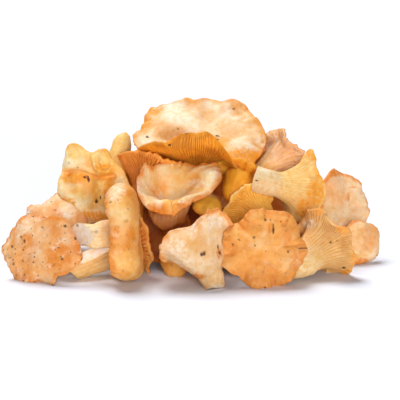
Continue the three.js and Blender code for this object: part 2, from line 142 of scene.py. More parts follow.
for name, energy, wide, turned in LAMPS:
    turned = [math.radians(angle) for angle in turned]
    bpy.ops.object.light_add(type="SUN", location=(0, -0.3, 1), rotation=turned)
    lamp = bpy.context.object
    lamp.name, lamp.data.energy, lamp.data.angle = name, energy, math.radians(wide)
    print("lamp:", name, "at", wide, "degrees wide")

# %% [markdown]
# ## How a chanterelle is built
# One mushroom is a single skin: out over the face of the cap, round the rim, back along the gilled
# underside, down the flare on to the stem and across the cut foot. We describe it by spokes. A spoke
# is the curve of that skin in one direction, given by how far out it reaches and how steeply it
# rises, and these values change smoothly as we go round the cap. All lengths here are millimetres.

# %% Smooth values round a cap
def smooth(x):
    """Eases from 0 to 1, and stays there on both sides."""
    x = np.clip(x, 0, 1)
    return x * x * (3 - 2 * x)


def around(values, turn):
    """Smooth values at shares of the way round, from values at even steps clockwise from the top."""
    values = np.asarray(values, float)
    place = turn * len(values)
    first = np.floor(place).astype(int)
    f = place - first
    v = [values[(first + k) % len(values)] for k in (-1, 0, 1, 2)]
    slope = (v[2] - v[0]) * f
    bend = (2 * v[0] - 5 * v[1] + 4 * v[2] - v[3]) * f**2
    turnover = (3 * v[1] - v[0] - 3 * v[2] + v[3]) * f**3
    return v[1] + (slope + bend + turnover) / 2


print("half way between 10 and 20:", float(around([10, 20], np.array([0.25]))[0]))

# %% [markdown]
# The frills are what makes a chanterelle's rim lively. They are a few waves of different lengths laid
# over each other, each swelling and fading on the way round, so that no two stretches look alike. A
# seeded random generator gives the same mushroom each time.

# %% Spokes and frills
FRILLS = [  # waves round the rim, share that they lengthen the reach, degrees that they tip the rim
    (3, 0.030, 5), (7, 0.026, 8), (13, 0.016, 9), (23, 0.006, 7), (37, 0.003, 5),
]
SWELL = 0.9  # how far a wave swells and fades
RISE_BY = 0.3  # share of the way out by which the face has its slope
LIP_FROM = 0.35  # share of the way out from which it bends to the slope of the rim
FRILL_FROM = 0.62  # share of the way out from which the small frills tip the rim
SPOKE_STEPS = 80  # steps in which the slope of a face is summed up


def frills(turn, seed):
    """How much longer the reach is, as a share, and how far the rim tips, in radians."""
    rng = np.random.default_rng(seed)
    longer = tipped = 0
    for waves, share, degrees in FRILLS:
        phase = TAU * (waves * turn + rng.random())
        swell = 1 + SWELL * np.sin(TAU * (rng.integers(1, 5) * turn + rng.random()))
        longer = longer + share * swell * np.sin(phase)
        tipped = tipped + math.radians(degrees) * swell * np.cos(phase)
    return longer, tipped


def spokes(recipe, turn):
    """The face along each spoke: distance out, height and slope at a share of the way to the rim."""
    waves, wave_angle, wave_reach, wave_start = recipe["wave"]
    phase = TAU * (waves * turn + wave_start)
    longer, tipped = frills(turn, recipe["seed"])
    reach = around(recipe["reach"], turn) * (1 + wave_reach * np.sin(phase))
    reach = reach * (1 + recipe["frill"] * longer)
    for at, wide, deep in recipe["notches"]:
        apart = (turn - at + 0.5) % 1 - 0.5
        reach = reach * (1 - deep * np.exp(-((apart / wide) ** 2)))
    rise = np.radians(around(recipe["rise"], turn))
    lip = np.radians(around(recipe["lip"], turn) + wave_angle * np.cos(phase))
    s = ((np.arange(SPOKE_STEPS) + 0.5) / SPOKE_STEPS)[:, None]
    slope = rise * smooth(s / RISE_BY) + (lip - rise) * smooth((s - LIP_FROM) / (1 - LIP_FROM))
    slope = slope + recipe["frill"] * tipped * smooth((s - FRILL_FROM) / (1 - FRILL_FROM))
    step = reach / SPOKE_STEPS
    start = np.zeros((1, len(turn)))
    curves = [np.vstack([start, np.cumsum(step * way(slope), axis=0)]) for way in (np.cos, np.sin)]
    curves.append(np.vstack([start, slope]))

    def face(share):
        place = share * SPOKE_STEPS
        i = min(int(place), SPOKE_STEPS - 1)
        f = place - i
        return [(1 - f) * curve[i] + f * curve[i + 1] for curve in curves]

    return face


print("frills are seeded:", round(float(frills(np.array([0.3]), 1)[0][0]), 4))

# %% [markdown]
# The stem hangs from the cap along a curve that may bend aside, and its end is a slanting cut. Three
# blunt edges wind down it, because a stem is never a perfect rod. An end that is a tip and no cut is
# rounded off.

# %% Stem
STEM_LUMP = 0.05  # the blunt edges, as a share of the radius
STEM_TWIST = 5  # turn of those edges from top to foot, in radians
SLANT_FROM = 0.3  # share of the stem from which a slanting cut pulls it askew
ROUNDED_BY = 0.9  # how far the rounding goes, where 1 is a whole half ball


def stem_ring(recipe, turn, t):
    """The stem's skin at a share of the way down, and the point of its axis there."""
    throat, long, thick, foot_thick = recipe["stem"]
    top, knee = Vector((0, 0, -throat)), Vector((0, 0, -throat - long / 2))
    foot = Vector((*recipe["lean"], -throat - long))
    axis = top * (1 - t) ** 2 + knee * 2 * t * (1 - t) + foot * t**2
    along = ((knee - top) * (1 - t) + (foot - knee) * t).normalized()
    a = TAU * turn
    lumps = 1 + recipe["oval"] * np.cos(2 * a) + STEM_LUMP * np.cos(3 * a + STEM_TWIST * t)
    radius = (thick + (foot_thick - thick) * smooth(t)) * lumps
    blunt = recipe["blunt"]
    if t > blunt:
        radius = radius * math.sqrt(1 - ROUNDED_BY * ((t - blunt) / (1 - blunt)) ** 2)
    steep, side = recipe["slant"]
    askew = steep * np.cos(a - math.radians(side)) * smooth((t - SLANT_FROM) / (1 - SLANT_FROM))
    tip = np.array(Vector((0, 0, -1)).rotation_difference(along).to_matrix())
    ring = np.stack([np.sin(a), np.cos(a), 0 * a], axis=1) @ tip.T
    ring = (ring + askew[:, None] * np.array(along)) * radius[:, None]
    return ring + np.array(axis), np.array(axis)


straight = dict(stem=(12, 20, 8, 7), lean=(0, 0), oval=0, slant=(0, 0), blunt=1)
print("a stem ring has its axis at", stem_ring(straight, np.array([0.0]), 0.5)[1])

# %% [markdown]
# Now the whole skin, ring by ring. Along with each ring we note what it is made of, because the finish
# needs to know: how much it belongs to the underside, to the stem and to the cut foot, how near it is
# to the rim, how high its gills stand, and how far it takes part in dents that are pressed into the cap.

# %% The rings of one mushroom
RIM_THICK = 2.5  # flesh at the rim of a cap
HEART_THICK = 5.0  # flesh that is added to it at the middle of a cap
THIN_FROM, THINNER = 0.8, 0.15  # where a cap gets thinner towards its rim, and by what share
RIM_FROM = 0.975  # share of the way out at which the face turns over into the rim
RIM_SHOWS = 0.75  # share of the way out from which the face takes the rim's colour
EDGE_SHOWS = 1.5  # how far in the underside has it, in margins without gills
CROWDED = 0.85  # below 1, the rings of a face lie closer towards the rim
JOINT_OUTER = 0.95  # where the flare leaves the underside of a plain funnel
JOINT_INNER = 0.75  # how much further in it does so under a flat cap, times its hug
GILLS_LOSE = 0.45  # share of their height that the gills lose down the flare
GILLS_END = 0.55  # share of the stem by which they have run out
BARK_FROM, BARK_AT_NECK, BARK_OVER = 0.6, 0.5, 0.8  # where the stem's colour comes in, and how slowly
RING_COUNTS = dict(face=16, rim=5, under=12, flare=12, stem=8)
FOOT_SHARES = (0.97, 0.85, 0.55, 0.25, 0)
CUT_INSIDE = 0.9  # share of the foot's radius inside which its cut shows


def rings_of(recipe, turn):
    """The points of the skin, ring by ring, and what each ring is made of."""
    face = spokes(recipe, turn)
    hug = recipe["hug"]
    sin, cos = np.sin(TAU * turn), np.cos(TAU * turn)
    counts = {part: round(count * recipe["finer"]) for part, count in RING_COUNTS.items()}
    rows = []

    def add(out, high, **made_of):
        rows.append((np.stack([out * sin, out * cos, high], axis=1), made_of))

    def flesh(share):
        thin = 1 - THINNER * smooth((share - THIN_FROM) / (1 - THIN_FROM))
        return (RIM_THICK + HEART_THICK * recipe["flesh"] * (1 - share) ** 2) * thin

    for share in RIM_FROM * np.linspace(0, 1, counts["face"] + 1) ** CROWDED:
        out, high, _ = face(share)
        add(out, high, dent=1, rim=float(smooth((share - RIM_SHOWS) / (1 - RIM_SHOWS))))

    # The edge is half a circle round the middle of the flesh.
    out, high, slope = face(RIM_FROM)
    half = flesh(RIM_FROM) / 2
    for angle in np.linspace(math.pi / 2, -math.pi / 2, counts["rim"] + 2)[1:-1]:
        lift, push = half * (math.sin(angle) - 1), half * math.cos(angle)
        edge_out = out + push * np.cos(slope) - lift * np.sin(slope)
        edge_high = high + push * np.sin(slope) + lift * np.cos(slope)
        add(edge_out, edge_high, dent=1, rim=1, under=0.5 - 0.5 * math.sin(angle))

    for share in np.linspace(RIM_FROM, JOINT_OUTER - JOINT_INNER * hug, counts["under"]):
        out, high, slope = face(share)
        out, high = out + flesh(share) * np.sin(slope), high - flesh(share) * np.cos(slope)
        grown = float(smooth((1 - share) / recipe["margin"]))
        edge = EDGE_SHOWS * recipe["margin"]
        add(out, high, dent=1, under=1, ridge=grown, rim=float(smooth((share - 1 + edge) / edge)))

    # The flare is a curve from the underside to the neck, which leaves both in their own direction.
    neck_ring, _ = stem_ring(recipe, turn, 0)
    neck, neck_high = np.hypot(neck_ring[:, 0], neck_ring[:, 1]), neck_ring[:, 2]
    pull = hug * (out - neck)
    flare = np.array(
        [
            [out, high],
            [out - pull * np.cos(slope), high - pull * np.sin(slope)],
            [neck, neck_high + hug * (high - neck_high)],
            [neck, neck_high],
        ]
    )
    for t in np.linspace(0, 1, counts["flare"] + 1)[1:]:
        weights = np.array([(1 - t) ** 3, 3 * t * (1 - t) ** 2, 3 * t**2 * (1 - t), t**3])
        out, high = np.tensordot(weights, flare, axes=1)
        bark = float(smooth((t - BARK_FROM) / BARK_OVER))
        add(out, high, dent=1 - t, under=1, ridge=1 - GILLS_LOSE * t, stem=bark)

    for t in np.linspace(0, 1, counts["stem"] + 1)[1:]:
        ring, axis = stem_ring(recipe, turn, t)
        gilled = 1 - float(smooth(t / GILLS_END))
        bark = float(smooth((t + BARK_AT_NECK) / BARK_OVER))
        rows.append((ring, dict(under=gilled, ridge=(1 - GILLS_LOSE) * gilled, stem=bark)))
    for share in FOOT_SHARES:
        rows.append((axis + (ring - axis) * share, dict(stem=1, cut=float(share < CUT_INSIDE))))

    points = np.stack([row[0] for row in rows])
    keys = ("under", "stem", "cut", "rim", "ridge", "dent")
    made_of = {key: np.array([row[1].get(key, 0) for row in rows])[:, None] for key in keys}
    return points, made_of, float(np.mean(neck))


print("rings on a mushroom:", sum(RING_COUNTS.values()) + 1 + len(FOOT_SHARES))

# %% [markdown]
# ## Gills, lumps and dents
# A chanterelle's gills are blunt ridges that fork on the way out to the rim. A row of ridges is a
# cosine wave in the angle round the stem. A wave with twice as many ridges, set so that each old crest
# becomes a valley between two new ones, is just what a fork looks like, so we fade from the one wave to
# the next where the cap has become wide enough. The angle wanders a little, as the gills do.

# %% Relief on the skin
FORKS = (0.55, 1.45)  # how many times the cap has doubled its width at each fork
FORK_OVER = 0.5  # and over how many more doublings the fork opens
WANDER, EARLY = 0.35, 0.16  # how far gills wander, and how early or late they fork
BLUNT_CREST = 0.8  # below 1, crests are broader than valleys
LUMP_WAVES, LUMP_SUM = 9, 3.5  # waves laid over each other for lumps, and about what they add up to
HUMP_WIDE, SMALL_WIDE, SMALL_SHARE = 15, 5, 0.3  # humps of a cap, the smaller ones and their height


def gills(points, turn, neck, count, seed):
    """Heights of the gills between 0 in a valley and 1 on a crest."""
    rng = np.random.default_rng(seed)
    rows = np.linspace(0, 1, len(points))[:, None]
    wander = sum(
        WANDER / k**0.5 * np.sin(TAU * (k * turn + rng.uniform(-2, 2) * rows + rng.random()))
        for k in (2, 5, 9, 14)
    )
    angle = TAU * count * turn + wander
    early = sum(EARLY * np.sin(TAU * (k * turn + rng.random())) for k in (3, 7, 13, 22))
    out = np.hypot(points[:, :, 0], points[:, :, 1])
    doubled = np.log2(np.maximum(out, neck) / neck) + early
    wave = np.cos(angle)
    for fork, ridges in zip(FORKS, (2, 4)):
        forked = smooth((doubled - fork) / FORK_OVER + 0.5)
        wave = (1 - forked) * wave - forked * np.cos(ridges * angle)
    return (0.5 + 0.5 * wave) ** BLUNT_CREST


def lumps(points, size, seed):
    """A smooth random relief between about -1 and 1 with humps of about that size in millimetres."""
    rng = np.random.default_rng(seed)
    relief = 0
    for _ in range(LUMP_WAVES):
        across = rng.normal(size=3)
        across *= TAU / size / rng.uniform(0.8, 1.8) / np.linalg.norm(across)
        relief = relief + np.sin(points @ across + rng.uniform(0, TAU))
    return relief / LUMP_SUM


def humps(points, seed):
    """Broad humps with smaller ones on them."""
    return lumps(points, HUMP_WIDE, seed) + SMALL_SHARE * lumps(points, SMALL_WIDE, seed + 1)


def creases(turn, seed):
    """Fine radial wrinkles of the skin near a rim, between about -1 and 1."""
    rng = np.random.default_rng(seed)
    waves = [(k, rng.random(2)[0]) for k in (17, 29, 41, 59)]
    swell = 0.5 + 0.5 * np.sin(TAU * (3 * turn + rng.random()))
    return swell * sum(np.sin(TAU * (k * turn + start)) for k, start in waves) / 2


def outward(points):
    """The direction that the skin faces at each point of the rings."""
    ring_way = np.roll(points[:, :-1], -1, axis=1) - np.roll(points[:, :-1], 1, axis=1)
    ring_way = np.concatenate([ring_way, ring_way[:, :1]], axis=1)
    facing = np.cross(ring_way, np.gradient(points, axis=0))
    facing /= np.maximum(np.linalg.norm(facing, axis=2, keepdims=True), 1e-9)
    return facing if facing[len(facing) // 8, :, 2].mean() > 0 else -facing


print("each gill has become", 2 ** len(FORKS), "where it meets the rim")

# %% [markdown]
# A dent is a groove along a path on the face. It is written as the points of the path and then its
# width and depth, and a depth below 0 is a swelling. The skin on both sides of the cap moves by the
# same amount, so the flesh stays as thick as it was. A slice is a flat cut that a knife left on a stem:
# what stands out past its plane is laid flat on to it. A mark is a spot of another colour, placed as
# seen from the front and worn only by skin that faces us. Dark marks are scars and specks, and in the
# crease of the folded cap they are painted shade. Orange marks are orange spots and cracks, and some
# are painted light that brightens a rim, a flank or a crease lying in shade. White marks are pale
# spots of the skin and in part painted highlights.

# %% Dents, marks and slices
SLICE_EDGE = 0.3  # depth over which a slice takes the colour of cut flesh


def dented(points, dents):
    """How deep each point is pressed in."""
    depth = np.zeros(points.shape[:2])
    for *path, wide, deep in dents:
        path = np.reshape(path, (-1, 2)).astype(float)
        nearest = np.full(points.shape[:2], np.inf)
        for start, end in zip(path[:-1], path[1:]):
            past, way = points[:, :, :2] - start, end - start
            share = np.clip(past @ way / (way @ way), 0, 1)
            nearest = np.minimum(nearest, np.linalg.norm(past - share[:, :, None] * way, axis=2))
        depth += deep * np.exp(-((nearest / wide) ** 2))
    return depth


def spotted(seen, marks):
    """How much each point takes part in marks, given as right, up, half width and half height."""
    share = np.zeros(seen.shape[:2])
    for right, up, wide, high in marks:
        apart = np.hypot((seen[:, :, 0] - right) / wide, (seen[:, :, 1] - up) / high)
        share = np.maximum(share, 1 - smooth(apart - 0.5))
    return share * (seen[:, :, 2] > 0)


def sliced(points, facing, stands_at, share):
    """Lays what is past a plane flat on it. Gives the new points and which of them were cut."""
    facing = np.array(Vector(facing).normalized())
    past = np.maximum(points @ facing - stands_at, 0) * share
    return points - past[:, :, None] * facing, smooth(past / SLICE_EDGE)


depth = dented(np.zeros((1, 1, 3)), [(0, 0, 5, 0, 4, 3)])[0, 0]
print("a dent of 3 mm is", round(float(depth), 1), "mm deep at its middle")

# %% [markdown]
# ## From rings to a mesh
# The rings make a sheet with as many columns as there are spokes. So we add a grid, which is a flat
# sheet with the right number of corners, move its corners to the skin, and merge the corners that fall
# together: the seam down one side, the middle of the face and the middle of the foot. That leaves one
# closed skin. What each spot is made of is kept in four attributes that the materials read.

# %% Place a mushroom
def stands(recipe):
    """Where a mushroom stands: its face looks along a bearing and a height, its top is uppermost."""
    bearing, height = (math.radians(angle) for angle in recipe["faces"])
    level = math.cos(height)
    face = Vector((math.sin(bearing) * level, -math.cos(bearing) * level, math.sin(height)))
    top = (Vector((0, 0, 1)) - face * face.z).normalized()
    turned = Matrix((top.cross(face), top, face)).transposed().to_4x4()
    return np.array(Matrix.Translation(Vector(recipe["at"])) @ turned)


def only(obj):
    """Makes one object the selected and active one."""
    bpy.ops.object.select_all(action="DESELECT")
    obj.select_set(True)
    bpy.context.view_layer.objects.active = obj


print("a cap that looks up has its axes at", stands(dict(faces=(0, 90), at=(0, 0, 0))).round().tolist())

# %% Grow a mesh
WRINKLE = 0.3  # height of a wrinkle near the rim, as a share of a lump's
FIBRE_HIGH, FIBRE_APART = 0.06, 2.2  # fibres on a stem: their height and their distance
STEM_ROUND, STEM_SLOW = 9, 0.12  # they run along a stem: a radius for all, and how slowly they change
GILLED_FROM = 0.4  # gills lower than this let the colour of the skin show through
# DEEP, HUMP_SHOWS and WRINKLE_SHOWS set painted shade in dents and painted highlight on humps.
DEEP, HUMP_SHOWS, WRINKLE_SHOWS = 4, 0.4, 0.5  # a full dent, and how much humps and wrinkles colour
MERGE_BELOW = 1e-7  # corners that are closer than this, in metres, fall together


def grow(recipe):
    """Grows one mushroom from its recipe, as a closed mesh in its place."""
    seed, columns, lumpy = recipe["seed"], recipe["spokes"], recipe["lumpy"]
    turn = np.arange(columns + 1) / columns
    sin, cos = np.sin(TAU * turn), np.cos(TAU * turn)
    points, made_of, neck = rings_of(recipe, turn)
    facing = outward(points)
    ridge = gills(points, turn, neck, recipe["gills"], seed)
    on_stem = np.stack([sin * STEM_ROUND, cos * STEM_ROUND, 0 * turn], axis=1)[None]
    fibres = lumps(on_stem + points * [0, 0, STEM_SLOW], FIBRE_APART, seed + 2)
    height = recipe["gill_high"] * made_of["ridge"] * (ridge - 0.5)
    height = height + (1 - made_of["dent"]) * lumpy * humps(points, seed)
    height = height + FIBRE_HIGH * made_of["stem"] * (1 - made_of["cut"]) * fibres
    height[0] = height[0].mean()
    height[-1] = height[-1].mean()
    points = points + facing * height[:, :, None]

    # Both skins of the cap move by the same amount, so that the flesh stays as thick as it was.
    hump = humps(points * [1, 1, 0], seed)
    wrinkle = creases(turn, seed + 3) * made_of["rim"]
    depth = dented(points, recipe["dents"])
    points[:, :, 2] -= made_of["dent"] * (depth - lumpy * (hump + WRINKLE * wrinkle))
    cut = made_of["cut"] + 0 * turn
    for facing_way, stands_at in recipe["slices"]:
        points, newly_cut = sliced(points, facing_way, stands_at, smooth(2 * made_of["stem"]))
        cut = np.maximum(cut, newly_cut)

    bpy.ops.mesh.primitive_grid_add(x_subdivisions=columns, y_subdivisions=len(points) - 1)
    obj = bpy.context.object
    obj.name = obj.data.name = recipe["name"] + "_grown"
    place = stands(recipe)
    world = points @ place[:3, :3].T + place[:3, 3]
    obj.data.vertices.foreach_set("co", (world * MM).astype(np.float32).ravel())

    # Each point as seen from the front: how far right and up, and whether its skin faces us.
    away = world - np.array(LOOK_AT) / MM
    up = away[:, :, 2] * math.cos(CAMERA_ABOVE) + away[:, :, 1] * math.sin(CAMERA_ABOVE)
    to_front = -(outward(points) @ place[:3, :3].T)[:, :, 1]
    seen = np.stack([away[:, :, 0], up, to_front], axis=2)

    flat = np.ones_like(ridge)
    gilled = min(1, recipe["gill_high"] / GILLED_FROM)
    # The gills' valleys, which the finish paints darker as shade between the ridges.
    valley = gilled * made_of["ridge"] * (1 - ridge)
    # How low a spot lies: the finish paints low spots more orange as shade, high ones paler as highlight.
    low = np.clip(depth / DEEP - HUMP_SHOWS * hump - WRINKLE_SHOWS * wrinkle, -1, 1)
    down = np.arange(len(points))[:, None] / len(points)
    attributes = {
        "made_of": (made_of["under"] * gilled * flat, made_of["stem"] * flat, cut),
        "relief": (made_of["rim"] * flat, 1 - valley, low),
        "marks": [spotted(seen, recipe[kind]) for kind in ("scar", "orange", "white")],
        "growth": (sin * flat, cos * flat, down * flat),
    }
    corners = np.zeros(len(obj.data.loops), int)
    obj.data.loops.foreach_get("vertex_index", corners)
    for name, parts in attributes.items():
        values = np.stack(parts, axis=2).reshape(-1, 3)[corners]
        attribute = obj.data.attributes.new(name, "FLOAT_VECTOR", "CORNER")
        attribute.data.foreach_set("vector", values.astype(np.float32).ravel())

    only(obj)
    bpy.ops.object.mode_set(mode="EDIT")
    bpy.ops.mesh.select_all(action="SELECT")
    bpy.ops.mesh.remove_doubles(threshold=MERGE_BELOW)
    bpy.ops.mesh.normals_make_consistent(inside=False)
    bpy.ops.object.mode_set(mode="OBJECT")
    return obj


rings = sum(RING_COUNTS.values()) + len(FOOT_SHARES)
print("a mushroom with 256 spokes has about", 2 * 256 * rings // 1000, "thousand triangles")

# %% [markdown]
# ## Recipes
# Each mushroom's recipe gives the middle of its face (at), where the face looks (faces: bearing, 0 to
# the front and 90 to the right, and height), and then what the cap and the stem need:
#
# - reach: length of the face from its middle to the rim, at even steps clockwise from the top
# - rise, lip: slope of the face near the middle and at the rim, in degrees, at the same kind of steps
# - wave: waves along the rim, degrees that they tip it, how much they lengthen it, where they start
# - flesh: share of the usual thickness; hug: how closely the flare follows the cap before it turns down
# - stem: depth at which it starts, length, radius at top and foot; lean: how far its foot stands aside
# - oval: how far from round it is; slant: how steeply its foot is cut, and towards which side
# - blunt: share of the stem from which its end is rounded off, where 1 is never
#
# The rest is what only the fine surface has: the number of spokes and gills, how much finer the rings
# are, how high the gills stand, the smooth margin before they start, how strongly the rim is frilled
# and the skin is lumpy, and the notches, slices, dents and marks. Two finishes go with it: the slot of
# the model (tint) and the fuller one that it wears here. What a recipe leaves out is as usual.

# %% What is usual
USUAL = dict(
    tint="golden", wears="golden", rise=[0], lip=[-20], wave=(5, 10, 0.03, 0.3), flesh=1, hug=0.55,
    lean=(0, 0), oval=0.05, slant=(0.2, 0), blunt=1, spokes=192, gills=12, finer=1, gill_high=0.45,
    margin=0.12, frill=0.5, lumpy=0.6, notches=[], slices=[], dents=[], orange=[], white=[], scar=[],
)
recipes = []
print("usual finish:", USUAL["wears"])

# %% [markdown]
# The first eight are those that meet the eye: the broad cap that crowns the heap, with its front
# turned up, four mushrooms in the front row, a leaning trumpet, a cap folded like a cloth and a funnel
# in the middle. The others give way to them, so that they keep most of their shape.

